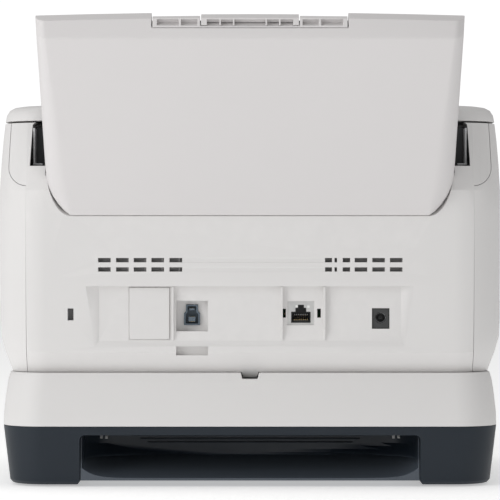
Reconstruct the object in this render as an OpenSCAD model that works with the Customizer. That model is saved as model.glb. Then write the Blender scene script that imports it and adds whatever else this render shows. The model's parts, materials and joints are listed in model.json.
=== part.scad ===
// Sheet-fed desktop document scanner: a tower that stands on a two-part base, with a fold-over
// paper chute, a front cover that swings down off the paper path, and a pull-out output tray.
// +X is the right-hand side seen from the front, +Y the rear, +Z up. Millimetres.

/* [Body] */
// Widest width of the tower
body_w = 306; // [300:1:310]
// Height of the front cover's top
body_top = 231; // [230:0.5:233]
// Wall thickness of the moulded covers
wall = 2.5; // [2:0.1:2.8]
// Plan radius of the tower's rear corners
rear_r = 30; // [24:1:32]

/* [Base] */
// Widest width of the base
base_w = 301; // [298:1:302]
// Depth of the base
base_d = 240; // [238:1:242]
// Height of the joint between the dark and the white shell
base_split = 36.5; // [35:0.5:38]
// Height of the joint between base and tower
deck_z = 69; // [68.5:0.5:69.5]

/* [Chute] */
// Backward lean of the open chute
lean = 28; // [27:0.5:29]
// Half width of the chute at its pivot end
chute_hw = 122.6; // [122:0.1:123]
// Length of the chute above the pivot
chute_len = 111; // [108:1:113]

/* [Paper path] */
// Forward slope of the scanning path
path_slope = 45; // [44:0.5:46]
// Half width of the paper beds
bed_hw = 111; // [110:0.5:111]

/* [Hidden] */
$fn = 64;
corner_steps = 8;      // segments in a rounded plan corner
gap = 0.3;             // half of the joint between two covers
seam = 0.7;            // open joint below the front cover's top
eps = 0.01;

body_hw = body_w / 2;
base_hw = base_w / 2;
base_front = -base_d / 2;
pivot_y = 80;          // chute pivot
pivot_z = 200;
chute_face = 50;       // outer face of the chute, from the pivot along its own normal
bed_face = 36;         // paper side of the chute and of the upper bed
bed_len = 42;          // length of the fixed upper bed below the pivot
crown = 0.3;           // rise of the chute's upper edge on the centre line
tip_y = pivot_y + (chute_face - 5.5) * cos(lean) + (chute_len + crown) * sin(lean);
mid_y = (tip_y + base_front - 0.5) / 2;   // centre of the whole object, front to back
bend_y = pivot_y + bed_face * cos(lean) - bed_len * sin(lean);
bend_z = pivot_z - bed_face * sin(lean) - bed_len * cos(lean);
cover_y = -40;         // hinge of the front cover
cover_z = 100;
cover_r = 14;          // rounded lower edge of the front cover about its hinge
face_slope = 14.4;     // backward slope of the front face

// Levels of the tower: height, half width, front, rear, front radius, rear radius
tower = [
    [deck_z, body_hw - 7.2, -42, 103, 14, rear_r - 6],
    [81, body_hw - 3.1, -47, 111.2, 16, rear_r - 2],
    [90, body_hw - 0.4, -51, 112, 18, rear_r],
    [100, body_hw, -54, 112.8, 18, rear_r],
    [125, body_hw, -47.6, 115, 18, rear_r],
    [165, body_hw, -37.3, 116, 18, rear_r],
    [179, body_hw, -33.7, 116, 18, rear_r],
    [195, body_hw - 0.3, -29.6, 108.4, 18, rear_r - 1],
    [210, body_hw - 1.1, -25.5, 101.2, 18, rear_r - 3],
    [221, body_hw - 1.9, -19, 96, 18, rear_r - 4]];
cap = [
    [225.5, body_hw - 2.8, -12, 95.6, 18, rear_r - 4],
    [228.5, body_hw - 4.6, -5, 94.6, 18, rear_r - 4],
    [230.3, body_hw - 7.6, 3, 92.6, 18, rear_r - 4],
    [body_top, body_hw - 11.2, 12, 89.6, 18, rear_r - 4]];
// Levels of the base shells, in the same order
lower_levels = [
    [1.2, base_hw - 5.6, base_front + 6, 107.5, 22, 22],
    [3.2, base_hw - 3.8, base_front + 4, 110, 24, 24],
    [base_split, base_hw, base_front, 114, 26, 26]];
upper_levels = [
    [base_split, base_hw, base_front, 114, 26, 26],
    [44, base_hw - 0.2, base_front, 113.8, 26, 26],
    [55, base_hw - 1.3, base_front + 1, 112.2, 26, 26],
    [64, base_hw - 2.6, base_front + 3, 110.2, 25, 25],
    [deck_z - gap, base_hw - 4, base_front + 5, 108.6, 24, 24]];

function arc(cx, cy, r, a0, a1, n = corner_steps) =
    [for (i = [0:n]) let (a = a0 + (a1 - a0) * i / n) [cx + r * cos(a), cy + r * sin(a)]];
function outline(hw, yf, yr, rf, rr) = concat(
    arc(-hw + rf, yf + rf, rf, 180, 270), arc(hw - rf, yf + rf, rf, 270, 360),
    arc(hw - rr, yr - rr, rr, 0, 90), arc(-hw + rr, yr - rr, rr, 90, 180));
// One level as a ring of points, moved in by d
function ring(v, d = 0) = [for (p = outline(v[1] - d, v[2] + d, v[3] - d, v[4] - d, v[5] - d)) [p[0], p[1], v[0]]];
function lowered(v, dz) = [v[0] - dz, v[1], v[2], v[3], v[4], v[5]];
function rounded(x0, y0, x1, y1, r, n = 6) = concat(
    arc(x0 + r, y0 + r, r, 180, 270, n), arc(x1 - r, y0 + r, r, 270, 360, n),
    arc(x1 - r, y1 - r, r, 0, 90, n), arc(x0 + r, y1 - r, r, 90, 180, n));

// Solid through rings of equal length, lowest ring first, each anticlockwise from above
module loft(rings) {
    n = len(rings[0]);
    m = len(rings);
    polyhedron(
        points = [for (r = rings) each r],
        faces = concat(
            [[for (i = [0:n - 1]) i]],
            [for (k = [0:m - 2], i = [0:n - 1])
                [k * n + i, (k + 1) * n + i, (k + 1) * n + (i + 1) % n, k * n + (i + 1) % n]],
            [[for (i = [n - 1:-1:0]) (m - 1) * n + i]]));
}

// Frames: the whole object centred front to back, the chute, the sloping path and the front face
module placed() translate([0, -mid_y, 0]) children();
module chute_frame() translate([0, pivot_y, pivot_z]) rotate([-lean, 0, 0]) children();
module path_frame() translate([0, bend_y, bend_z]) rotate([-path_slope, 0, 0]) children();
module face_frame() translate([0, -36.5, 168]) rotate([-face_slope, 0, 0]) children();

// A point of those frames as [y, z] of the whole object
function on_chute(y, z) = [pivot_y + y * cos(lean) + z * sin(lean), pivot_z - y * sin(lean) + z * cos(lean)];
function on_path(y, z) = [bend_y + y * cos(path_slope) + z * sin(path_slope), bend_z - y * sin(path_slope) + z * cos(path_slope)];

// A side-view outline, given as [y, z], drawn out along X
module across(x0, x1) translate([x0, 0, 0]) rotate([90, 0, 90]) linear_extrude(x1 - x0) children();
// A rear-view outline, given as [x, z], drawn out along Y
module through(y0, y1) translate([0, y1, 0]) rotate([90, 0, 0]) linear_extrude(y1 - y0) children();
module block(x0, x1, y0, y1, z0, z1) translate([x0, y0, z0]) cube([x1 - x0, y1 - y0, z1 - z0]);
module rod(x0, x1, y, z, r) translate([x0, y, z]) rotate([0, 90, 0]) cylinder(h = x1 - x0, r = r);
module both_sides() { children(); mirror([1, 0, 0]) children(); }

// ---------- base ----------
pocket_hw = 102.5;     // rear carrying recess
pocket_top = 31.2;
skid_z = 3.6;          // underside between the two skids
channel_hw = 118;      // tray channel in the base
channel_z = 40.5;

module pocket_shape(d = 0) through(52 - d, 130)
    polygon(concat([[-pocket_hw - d, -5], [pocket_hw + d, -5]],
        arc(pocket_hw - 3, pocket_top - 3, 3 + d, 0, 90, 5), arc(-pocket_hw + 3, pocket_top - 3, 3 + d, 90, 180, 5)));

module base_lower_shell() color([0.16, 0.19, 0.22]) placed() difference() {
    loft([for (v = lower_levels) ring(v)]);
    difference() {
        loft([ring([3.2 + wall, base_hw - 3.8, base_front + 4, 110, 24, 24], wall),
            ring([base_split + 1, base_hw, base_front, 114, 26, 26], wall)]);
        pocket_shape(2);
    }
    pocket_shape();
    through(-200, 200) polygon([[-pocket_hw - 3, -1], [pocket_hw + 3, -1], [pocket_hw, skid_z], [-pocket_hw, skid_z]]);
    for (x = [-125, 125], y = [-95, 85]) translate([x, y, 0]) cylinder(h = 3, r = 8.1);
    for (x = [-90, 90], y = [-70, 30]) translate([x, y, 0]) { cylinder(h = 4.7, r = 3.6); cylinder(h = 8, r = 1.7); }
}

// Scoop of the recess: height and depth on the centre line; it bows forward and rounds off towards its ends
scoop_hw = pocket_hw - 1.1;
scoop = [[4.8, 112.5], [6, 106], [8, 96.5], [10.5, 84.5], [13, 72], [15.6, 58], [17, 55.5], [19, 52], [21, 48.5],
    [23, 45], [26, 40], [31.6, 31]];
scoop_back = 58;
scoop_x = [-1, -0.985, -0.96, -0.92, -0.87, -0.8, -0.68, -0.5, -0.25, 0, 0.25, 0.5, 0.68, 0.8, 0.87, 0.92, 0.96, 0.985, 1];
function scoop_ring(z, y) = concat([[-scoop_hw, 130, z]],
    [for (t = scoop_x) let (floor_y = y + 15 * min(1, (z - 5) / 12) * t * t)
        [scoop_hw * t, min(128, max(scoop_back, floor_y) + 22 * pow(abs(t), 14)), z]],
    [[scoop_hw, 130, z]]);
module handle_liner() color([0.12, 0.15, 0.18]) placed() difference() {
    intersection() {
        block(-pocket_hw, pocket_hw, 52.3, 110, skid_z + 0.2, pocket_top);
        pocket_shape(-gap);
    }
    loft([for (v = scoop) scoop_ring(v[0], v[1])]);
}

module upper_profile(d) across(-200, 200)
    polygon([[base_front - 5, 20], [base_front - 5, 46 - d], [base_front + 3, 47.5 - d], [-50, 67 - d],
        [-42, deck_z - gap - d], [130, deck_z - gap - d], [130, 20]]);

module base_upper_shell() color([0.88, 0.88, 0.87]) placed() difference() {
    intersection() { loft([for (v = upper_levels) ring(v)]); upper_profile(0); }
    difference() {
        intersection() {
            loft(concat([ring([base_split - 1, base_hw, base_front, 114, 26, 26], wall)],
                [for (v = [upper_levels[1], upper_levels[2], upper_levels[3], upper_levels[4]]) ring(v, wall)]));
            upper_profile(wall);
        }
        block(-channel_hw - wall, channel_hw + wall, -130, 58.5, 38, 80);
    }
    block(-channel_hw, channel_hw, -130, 56, channel_z, 80);
    through(90, 130) polygon([[-4.6, 65.1], [4.6, 65.1], [6.3, 72], [-6.3, 72]]);
}

module rubber_feet() color([0.1, 0.1, 0.11]) placed()
    for (x = [-125, 125], y = [-95, 85]) translate([x, y, 0]) {
        cylinder(h = 3, r = 8);
        cylinder(h = 1, r = 8.8);
    }

module base_screws() color([0.7, 0.7, 0.72]) placed()
    for (x = [-90, 90], y = [-70, 30]) translate([x, y, skid_z + 0.2]) difference() {
        union() { cylinder(h = 0.88, r = 3.4); cylinder(h = 22, r = 1.5); }
        for (a = [0, 90]) rotate([0, 0, a]) translate([-2, -0.4, -1]) cube([4, 0.8, 1.5]);
    }

// ---------- output side ----------
module exit_guide() color([0.13, 0.14, 0.16]) placed() {
    across(-channel_hw + gap, channel_hw - gap)
        polygon([[55.7, channel_z + 0.1], [55.7, 71.2], [46, 71.2], [10, 51], [6, 48.6], [33, 48.6], [33, channel_z + 0.1]]);
    for (s = [-1, 1]) across(s * 113.2 - 1.2, s * 113.2 + 1.2)
        polygon([[55.7, 50], [55.7, 74], [30, 79], [-34, 79], [-34, 48.6], [6, 48.6]]);
}

module output_tray() color([0.13, 0.14, 0.16]) placed() difference() {
    union() {
        block(-116, 116, base_front + 3, 30, 44, 47.4);
        across(-116, 116) polygon([[base_front + 8, 44], [base_front + 8, 49], [base_front + 1.5, 49],
            [base_front - 0.5, 46.5], [base_front - 0.5, channel_z + 0.4], [base_front + 3, channel_z + 0.4],
            [base_front + 3, 44]]);
        for (x = [-106, -84, 84, 106]) block(x - 1, x + 1, base_front + 12, 24, 47, 48.3);
    }
    block(-62, 62, -130, -74, 30, 60);
    block(-60.6, 60.6, -130, 6, 40, 43.9 + 0.3);
}

module tray_extension() color([0.16, 0.17, 0.19]) placed() difference() {
    union() {
        block(-60, 60, base_front + 3, 4, 41.1, 43.5);
        block(-61.4, 61.4, base_front - 0.5, -105.6, 41.1, 49);
        for (s = [-1, 1]) block(s * 58.8 - 1.6, s * 58.8 + 1.6, -106, -98.6, 43, 47.9);
    }
    through(-130, -112) polygon(arc(0, 49.5, 9, 180, 360, 12));
    rod(-61, 61, -101.8, 46, 1.53);
}

module tray_stopper() color([0.2, 0.21, 0.23]) placed() {
    difference() {
        block(-56, 56, -101, -77, 44, 47.4);
        block(-20, 20, -86, -70, 40, 50);
    }
    difference() {
        union() { rod(-56, 56, -101.8, 46, 1.9); block(-56, 56, -101.8, -99, 44.4, 47.2); }
    }
    rod(-60, 60, -101.8, 46, 1.5);
}

// ---------- tower covers ----------
shoulder_hw = 146.5;   // half width of the rear cover above the chute recess
joint_hw = 135;        // half width of the rear cover below it
recess_y = 110.2;      // floor of the connector recess
mouth_hw = 133;        // dark opening each side of the chute

// The tower up to the side covers' rim, and with the front cover's rounded top; moved in by d for the hollow
module tower_solid(d = 0) loft(concat(
    d > 0 ? [ring([deck_z - 2, body_hw - 7.8, -41.5, 102, 14, rear_r - 6], d)] : [],
    [for (i = [0:len(tower) - 2]) ring(tower[i], d)],
    [ring(lowered(tower[len(tower) - 1], d + seam), d)]));
module full_solid(d = 0) loft(concat([for (v = tower) ring(v, d)],
    [for (i = [0:len(cap) - 2]) ring(lowered(cap[i], d * 0.6), d)], [ring(lowered(cap[len(cap) - 1], d), d)]));

// The rear cover's share of the tower, seen from behind
function rear_half(g) = concat([[joint_hw - g, 50]], arc(joint_hw - 0.5, 193.5, shoulder_hw - joint_hw + 0.5 - g, -88, 0, 8),
    [[shoulder_hw - 0.8 - g, 240]]);
module rear_region(g) through(70, 131)
    polygon(concat(rear_half(g), [for (i = [len(rear_half(g)) - 1:-1:0]) [-rear_half(g)[i][0], rear_half(g)[i][1]]]));

lip_r = [15, 28];      // corner of the chute's lower edge, across and along
flare = 2.5;           // widening of the chute towards its tip
lip_u = lip_r[1] - 15.3;
function chute_edge(d) = concat([for (i = [0:12]) let (a = -90 + 7.5 * i)
    [chute_hw - lip_r[0] + (lip_r[0] + d) * cos(a), lip_u + (lip_r[1] + d) * sin(a)]], [[chute_hw + flare + d, chute_len]]);
module chute_outline(d) polygon(concat(chute_edge(d),
    [for (i = [len(chute_edge(d)) - 1:-1:0]) [-chute_edge(d)[i][0], chute_edge(d)[i][1]]]));

module lip_pocket(d, y0) chute_frame() intersection() {
    through(y0, 75) chute_outline(d);
    block(-200, 200, 0, 100, -40, 60);
}

vent_rows = [131.1, 136.7];
vents_right = [[40.8, 7.6], [51.7, 7.6], [62.3, 7.6], [72.9, 7.6], [83.7, 7.6]];
vents_left = [[-49.3, 4.2], [-52.3, 1.5], [-60.2, 4.5], [-70.5, 7.6], [-81.1, 7.6], [-91.7, 7.6]];

module connector_recess() hull() {
    block(-91, 91, recess_y, recess_y + 0.1, 88, 121);
    block(-103, 103, 117, 117.1, 71, 121);
}

module rear_cover() color([0.88, 0.88, 0.87]) placed() {
    difference() {
        intersection() {
            union() {
                tower_solid();
                intersection() {
                    through(94, 108.5) polygon([[-4.1, 65.6], [4.1, 65.6], [5.4, 70], [-5.4, 70]]);
                    across(-7, 7) polygon([[95, 65], [100.3, 65], [103.8, 70.1], [95, 70.1]]);
                }
            }
            rear_region(gap / 2);
        }
        difference() {
            tower_solid(wall);
            block(-104, 104, recess_y - wall, 130, 80, 124);
            block(22.9, 47, 101.4, 130, 91.3, 114.7);
            block(22.9, 47, 103.4, 130, 76, 92);
            intersection() {
                lip_pocket(2.6, 38.2);
                chute_frame() block(-200, 200, 38.2, 90, -40, 24);
            }
        }
        difference() {
            lip_pocket(0.35, 10);
            chute_frame() block(-121, 121, 38.2, 40, -30, -0.8);
        }
        chute_frame() block(-chute_hw - 0.8, chute_hw + 0.8, -60, 75, 4, 200);
        through(60, 130) polygon(concat([[-mouth_hw, 193.6], [mouth_hw, 193.6]],
            arc(mouth_hw - 2.8, 218.2, 2, 0, 90, 4), [[mouth_hw - 2.8, 240], [-mouth_hw + 2.8, 240]],
            arc(-mouth_hw + 2.8, 218.2, 2, 90, 180, 4)));
        block(-bed_hw - 10, bed_hw + 10, 60, pivot_y + 31, 168, 240);
        connector_recess();
        block(25.4, 44.5, 103.4, 130, 93.8, 112.2);
        through(95, 130) polygon([[30.2, 97.3], [40, 97.3], [40, 104.5], [38.8, 105.7], [38.8, 109.9],
            [31.4, 109.9], [31.4, 105.7], [30.2, 104.5]]);
        block(25.4, 44.5, 106.4, 130, 79.3, 84.7);
        block(48.2, 73.1, 100, 130, 88.6, 120.5);
        block(-39, -22.4, 100, 130, 97.4, 112.2);
        for (x = [-21.6, -42.7]) block(x, x + 2.2, 100, 130, 102, 107.4);
        block(-84.1, -73.5, 100, 130, 95.3, 107.7);
        block(106.2, 109.8, 100, 130, 100.4, 107.7);
        for (z = vent_rows, v = concat(vents_right, vents_left)) block(v[0], v[0] + v[1], 100, 130, z - 1.3, z + 1.3);
        for (z = vent_rows) across(-49.5, 48.5)
            polygon([[116.2, z - 4.4], [115, z - 1], [115, z + 1], [116.2, z + 4.4]]);
    }
    for (x = [46.6, -19.1, -44.8]) across(x - 0.6, x + 0.6)
        polygon([[recess_y - 0.5, 88.4], [recess_y + 0.6, 88.4], [recess_y + 2.6, 95], [recess_y + 3, 120.8], [recess_y - 0.5, 120.8]]);
}

// The side covers' share, seen from the side: behind and below the front cover
module side_region() across(-200, 200) polygon(concat(
    [[131, 50], [131, 221 - seam], [20.8, 221 - seam]], arc(cover_y, cover_z, cover_r + 0.7, 13.6, -150, 20), [[-70, 88], [-70, 50]]));

module side_cover(x0, x1) intersection() {
    difference() {
        tower_solid();
        tower_solid(wall);
        rear_region(-gap / 2);
        block(-126, 126, -100, 131, 90, 240);
    }
    side_region();
    block(x0, x1, -100, 131, 50, 240);
}
module side_cover_right() color([0.88, 0.88, 0.87]) placed() side_cover(channel_hw - 4, 200);
module side_cover_left() color([0.88, 0.88, 0.87]) placed() side_cover(-200, -channel_hw + 4);

module option_cover() color([0.9, 0.9, 0.88]) placed() {
    block(48.6, 72.7, recess_y - 1.6, recess_y + 1, 89, 120.1);
    for (z = [93, 113]) block(57, 64, recess_y - 5, recess_y - 1, z, z + 2);
}

// ---------- feed opening ----------
module hopper_frame() color([0.11, 0.12, 0.13]) placed() both_sides() {
    difference() {
        union() {
            across(121, 124) polygon([[52, 186], [52, 219], [88, 219], [104, 196], [100, 176], [84, 176]]);
            block(123.5, 141, 82, 84, 188, 218);
            rod(121, 125.6, pivot_y, pivot_z, 7);
        }
        rod(115, 125.7, pivot_y, pivot_z, 4.06);
    }
}

module hopper_rims() color([0.5, 0.51, 0.52]) placed() both_sides() {
    block(130.6, 131.8, 84.1, 97, 195, 217);
    block(125.8, 131.8, 84.1, 99, 194.2, 195.4);
}

rack_y = 40.5;         // back of the bed to the guide racks
rack_t = 3;
pinion_z = -28;        // centre of the guide pinion along the upper bed
tooth = 0.75;          // gear module of racks and pinion
pinion_teeth = 16;
pinion_r = tooth * pinion_teeth / 2;
guide_travel = 66;

module bed_slots() for (s = [-1, 1]) {
    z = pinion_z + s * 0.01;
    block(s > 0 ? 30 : -104.6, s > 0 ? 104.6 : -30, 30, 45, z - 1.8, z + 1.8);
}

module feed_bed() color([0.12, 0.13, 0.14]) placed() {
    difference() {
        across(-bed_hw, bed_hw) polygon([on_chute(bed_face, -1), on_chute(bed_face, -bed_len), on_path(0, -88),
            on_path(2, -88), on_chute(bed_face + 2, -bed_len - 0.3), on_chute(bed_face + 2, -1)]);
        chute_frame() bed_slots();
        path_frame() {
            block(-22, 22, -5, 8, -22, -2.5);
            for (x = [-78, -42, 42, 78]) block(x - 10, x + 10, -5, 8, -41, -25);
            for (x = [-78, -42, 42, 78]) block(x - 10, x + 10, -5, 8, -88.5, -72.2);
            block(-bed_hw + 3.7, bed_hw - 3.7, -5, 8, -56.2, -42.8);
        }
    }
    chute_frame() translate([0, bed_face + 2 - 0.5, pinion_z]) rotate([-90, 0, 0]) cylinder(h = 7, r = 1.95);
}

// The hinge lug reaches forward above the sweep of the cover's lower skin
function plate_outline() = concat([[99, 71.5], [104, 82], [104, 130], [98, 142], [86, 142], [66, 123.5], [34, 91.5], [22, 90],
    [-6, 103], [-30, 107.5]], arc(cover_y, cover_z, 8.5, 50, 345, 14), [[-25.2, 98]],
    arc(cover_y, cover_z, cover_r + 0.8, -12, -84, 8), [[-36, 76], [-30, 71.5]]);
shaft_x = 114.5;
pick_at = on_path(8, -12);
feed_at = on_path(6, -33);
exit_at = on_path(6, -80);
motor_at = [91.5, 88];

module frame_plate() difference() {
    across(shaft_x, shaft_x + 1.5) polygon(plate_outline());
    for (p = [pick_at, feed_at, exit_at]) rod(100, 130, p[0], p[1], 5);
    rod(100, 130, motor_at[0], motor_at[1], 7);
    rod(100, 130, cover_y, cover_z, 3);
}
module frame_plate_right() color([0.66, 0.68, 0.7]) placed() frame_plate();
module frame_plate_left() color([0.66, 0.68, 0.7]) placed() mirror([1, 0, 0]) frame_plate();

module shaft_bushes() color([0.9, 0.9, 0.85]) placed() both_sides() for (p = [pick_at, feed_at, exit_at]) difference() {
    union() { rod(shaft_x - 1.4, shaft_x - 0.02, p[0], p[1], 6.4); rod(shaft_x - 0.1, shaft_x + 1.9, p[0], p[1], 4.97); }
    rod(100, 130, p[0], p[1], 3.05);
}

module shaft(p, x0, x1) rod(x0, x1, p[0], p[1], 3);
module roller(p, x, w, r) difference() { rod(x - w / 2, x + w / 2, p[0], p[1], r); rod(x - w, x + w, p[0], p[1], 3.02); }
module pulley(p, x, r) difference() {
    union() { rod(x, x + 6.8, p[0], p[1], r); rod(x, x + 0.8, p[0], p[1], r + 1.8); rod(x + 6, x + 6.8, p[0], p[1], r + 1.8); }
    rod(x - 1, x + 9, p[0], p[1], 3.02);
}
belt_x = 118;
belt_w = 5;
module belt(points) {
    difference() {
        hull() for (p = points) translate([p[0], p[1]]) circle(r = p[2] + 1.3, $fn = 48);
        hull() for (p = points) translate([p[0], p[1]]) circle(r = p[2] + 0.12, $fn = 48);
    }
}

module pick_shaft() color([0.72, 0.73, 0.75]) placed() shaft(pick_at, -126, 118);
module pick_roller() color([0.16, 0.16, 0.17]) placed() {
    for (x = [-12, 12]) roller(pick_at, x, 16, 9);
    mirror([1, 0, 0]) pulley(pick_at, belt_x, 6.02);
}
module feed_shaft() color([0.72, 0.73, 0.75]) placed() shaft(feed_at, -126, 126);
module feed_rollers() color([0.2, 0.2, 0.21]) placed() {
    for (x = [-78, -42, 42, 78]) roller(feed_at, x, 16, 7);
    pulley(feed_at, belt_x, 9);
    mirror([1, 0, 0]) pulley(feed_at, belt_x, 6.02);
}
module exit_shaft() color([0.72, 0.73, 0.75]) placed() shaft(exit_at, -118, 126);
module exit_rollers() color([0.2, 0.2, 0.21]) placed() {
    for (x = [-78, -42, 42, 78]) roller(exit_at, x, 16, 7);
    pulley(exit_at, belt_x, 9);
}
module motor_pulley() color([0.75, 0.76, 0.78]) placed() {
    rod(belt_x, belt_x + 6.8, motor_at[0], motor_at[1], 6);
    rod(belt_x, belt_x + 0.8, motor_at[0], motor_at[1], 7.8);
    rod(belt_x + 6, belt_x + 6.8, motor_at[0], motor_at[1], 7.8);
    rod(112, belt_x + 7.5, motor_at[0], motor_at[1], 2.5);
}
module drive_motor() color([0.3, 0.31, 0.33]) placed() difference() {
    union() {
        rod(91, shaft_x - 0.1, motor_at[0], motor_at[1], 16);
        rod(shaft_x - 0.2, shaft_x + 1.8, motor_at[0], motor_at[1], 6.9);
        block(99, 107, motor_at[0] - 6, motor_at[0] + 6, motor_at[1] - 18.2, motor_at[1] - 14);
    }
    rod(111, 120, motor_at[0], motor_at[1], 2.6);
}
module drive_belt() color([0.08, 0.08, 0.09]) placed() across(belt_x + 0.9, belt_x + 0.9 + belt_w)
    belt([[motor_at[0], motor_at[1], 6], [feed_at[0], feed_at[1], 9], [exit_at[0], exit_at[1], 9]]);
module pick_belt() color([0.08, 0.08, 0.09]) placed() mirror([1, 0, 0]) across(belt_x + 0.9, belt_x + 0.9 + belt_w)
    belt([[pick_at[0], pick_at[1], 6.02], [feed_at[0], feed_at[1], 6.02]]);

module rear_scan_unit() color([0.1, 0.1, 0.11]) placed() path_frame() difference() {
    block(-107, 107, 2.1, 15, -56.8, -42.2);
    block(-104, 104, 1, 11, -53.5, -45.5);
}
module rear_scan_glass() color([0.55, 0.65, 0.62]) placed() path_frame() block(-107, 107, 0.05, 2.05, -56, -43);

// ---------- electronics ----------
module main_board() color([0.1, 0.35, 0.2]) placed() {
    block(-98, 84, 96, 97.6, 73, 124);
    block(-60, -36, 90, 96.2, 76, 92);
    block(0, 26, 93, 96.2, 80, 106);
    for (x = [-88, -82, 66, 72]) translate([x, 96.2, 116]) rotate([90, 0, 0]) cylinder(h = 9, r = 2.6);
}

module usb_port() color([0.2, 0.33, 0.5]) placed() {
    difference() {
        through(97.7, 105.4) polygon([[30.4, 97.5], [39.8, 97.5], [39.8, 104.4], [38.6, 105.6], [38.6, 109.7],
            [31.6, 109.7], [31.6, 105.6], [30.4, 104.4]]);
        through(99, 106) polygon([[31.2, 98.3], [39, 98.3], [39, 104], [37.8, 105.2], [37.8, 108.9],
            [32.4, 108.9], [32.4, 105.2], [31.2, 104]]);
    }
    block(33, 37.2, 98.5, 104.6, 99.6, 102.4);
    block(33.4, 36.8, 98.5, 104.2, 106.4, 107.6);
}

module lan_port() color([0.75, 0.76, 0.77]) placed() {
    difference() {
        block(-38.6, -22.8, 97.7, 109, 97.8, 111.8);
        through(99, 112) polygon([[-36.6, 98.9], [-24.8, 98.9], [-24.8, 105.6], [-27.4, 105.6], [-27.4, 108],
            [-28.8, 108], [-28.8, 109.8], [-32.6, 109.8], [-32.6, 108], [-34, 108], [-34, 105.6], [-36.6, 105.6]]);
    }
    for (i = [0:7]) block(-35 + i * 1.1, -34.6 + i * 1.1, 98.8, 105, 103.4, 104.1);
}

jack_x = -78.8;
jack_z = 102;
module dc_jack() color([0.12, 0.12, 0.13]) placed() {
    difference() {
        block(-83.8, -73.8, 97.7, 109.2, 95.6, 107.4);
        translate([jack_x, 110, jack_z]) rotate([90, 0, 0]) cylinder(h = 10, r = 3);
        translate([jack_x, 110, jack_z]) rotate([90, 0, 0]) cylinder(h = 1.6, r1 = 3.9, r2 = 3);
    }
    translate([jack_x, 108.2, jack_z]) rotate([90, 0, 0]) cylinder(h = 9, r = 1);
}

module lock_plate() color([0.6, 0.61, 0.63]) placed() difference() {
    block(104.6, 112, 108.4, 109.6, 96, 112);
    block(106.4, 109.6, 100, 120, 100.6, 107.5);
}

// ---------- chute ----------
// Half width of the chute and of its flat face, u along it from the pivot
function chute_w(u) = u < lip_u ? chute_hw - lip_r[0] + lip_r[0] * sqrt(max(0, 1 - pow((u - lip_u) / lip_r[1], 2)))
    : chute_hw + (u - lip_u) * flare / (chute_len - lip_u);
function face_w(u) = chute_hw - lip_r[0] - 0.6 + (u + 15.3) * 12 / (chute_len + 15.3);
// The upper edge (top = 1) is lower at its ends than in the middle
function chute_ring(u, face, d = 0, back = bed_face, top = 0) =
    let (w = chute_w(u) - d, f = max(0.4, chute_w(u) - face_w(u)), h = min(11, face - d - back - 1), n = 4) [
    for (p = concat(
        [for (k = [-n:n]) [w * k / n, back]],
        [for (i = [0:7]) let (a = 90 * i / 7) [w - f + f * cos(a), face - d - h + h * sin(a)]],
        [for (k = [n - 1:-1:1 - n]) [(w - f) * k / n, face - d]],
        [for (i = [7:-1:0]) let (a = 90 * i / 7) [-w + f - f * cos(a), face - d - h + h * sin(a)]]))
    [p[0], p[1], u + top * (crown - 2 * pow(p[0] / w, 2))]];
chute_levels = [-15.3, -14.8, -13.2, -10, -5, 1, 7, lip_u, 40];
module chute_solid() loft(concat([for (u = chute_levels) chute_ring(u, chute_face - (u < -15 ? 1.2 : u < -14 ? 0.4 : 0))],
    [chute_ring(chute_len - 11, chute_face), chute_ring(chute_len - 9.5, chute_face - 0.5),
     chute_ring(chute_len, chute_face - 5.5, top = 1)]));

ext_hw = 56.6;         // half width of the first extension
tip_hw = 28.4;         // half width of the second
module chute_shell() color([0.82, 0.81, 0.8]) placed() chute_frame() difference() {
    chute_solid();
    loft([chute_ring(3, chute_face, 2.2, 30), chute_ring(7, chute_face, 2.2, 30),
        chute_ring(lip_u, chute_face, 2.2, 30), chute_ring(40, chute_face, 2.2, 30),
        chute_ring(chute_len - 11, chute_face, 2.2, 30), chute_ring(chute_len - 4.2, chute_face - 3.2, 2.2, 30)]);
    block(-200, 200, 30, 40.6, -30, 0.3);
    block(-ext_hw - 0.6, ext_hw + 0.6, 30, 60, chute_len - 5, chute_len + 5);
}
module chute_bed() color([0.13, 0.14, 0.15]) placed() chute_frame() {
    difference() {
        union() {
            linear_map_bed();
            for (x = [-90, -60, -30, 0, 30, 60, 90]) block(x - 0.8, x + 0.8, bed_face - 0.5, bed_face + 1, 8, chute_len - 8);
        }
        block(-ext_hw - 0.6, ext_hw + 0.6, 30, 60, chute_len - 5, chute_len + 5);
    }
    both_sides() difference() {
        across(112, 117) polygon(concat(arc(0, 0, 9, 90, 270, 12), [[31, -6], [34.8, -2], [35.6, 3.8], [37, 4], [37, 20], [33, 9]]));
        rod(110, 120, 0, 0, 4.02);
    }
}
module linear_map_bed() through(bed_face, bed_face + 2.4)
    polygon([[-chute_hw + 5, 3.2], [chute_hw - 5, 3.2], [chute_hw - 2.6, 15], [chute_hw - 0.6, chute_len - 4.4],
        [-chute_hw + 0.6, chute_len - 4.4], [-chute_hw + 2.6, 15]]);
module chute_pins() color([0.7, 0.71, 0.73]) placed() both_sides() rod(112.2, 125, pivot_y, pivot_z, 4);

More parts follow.
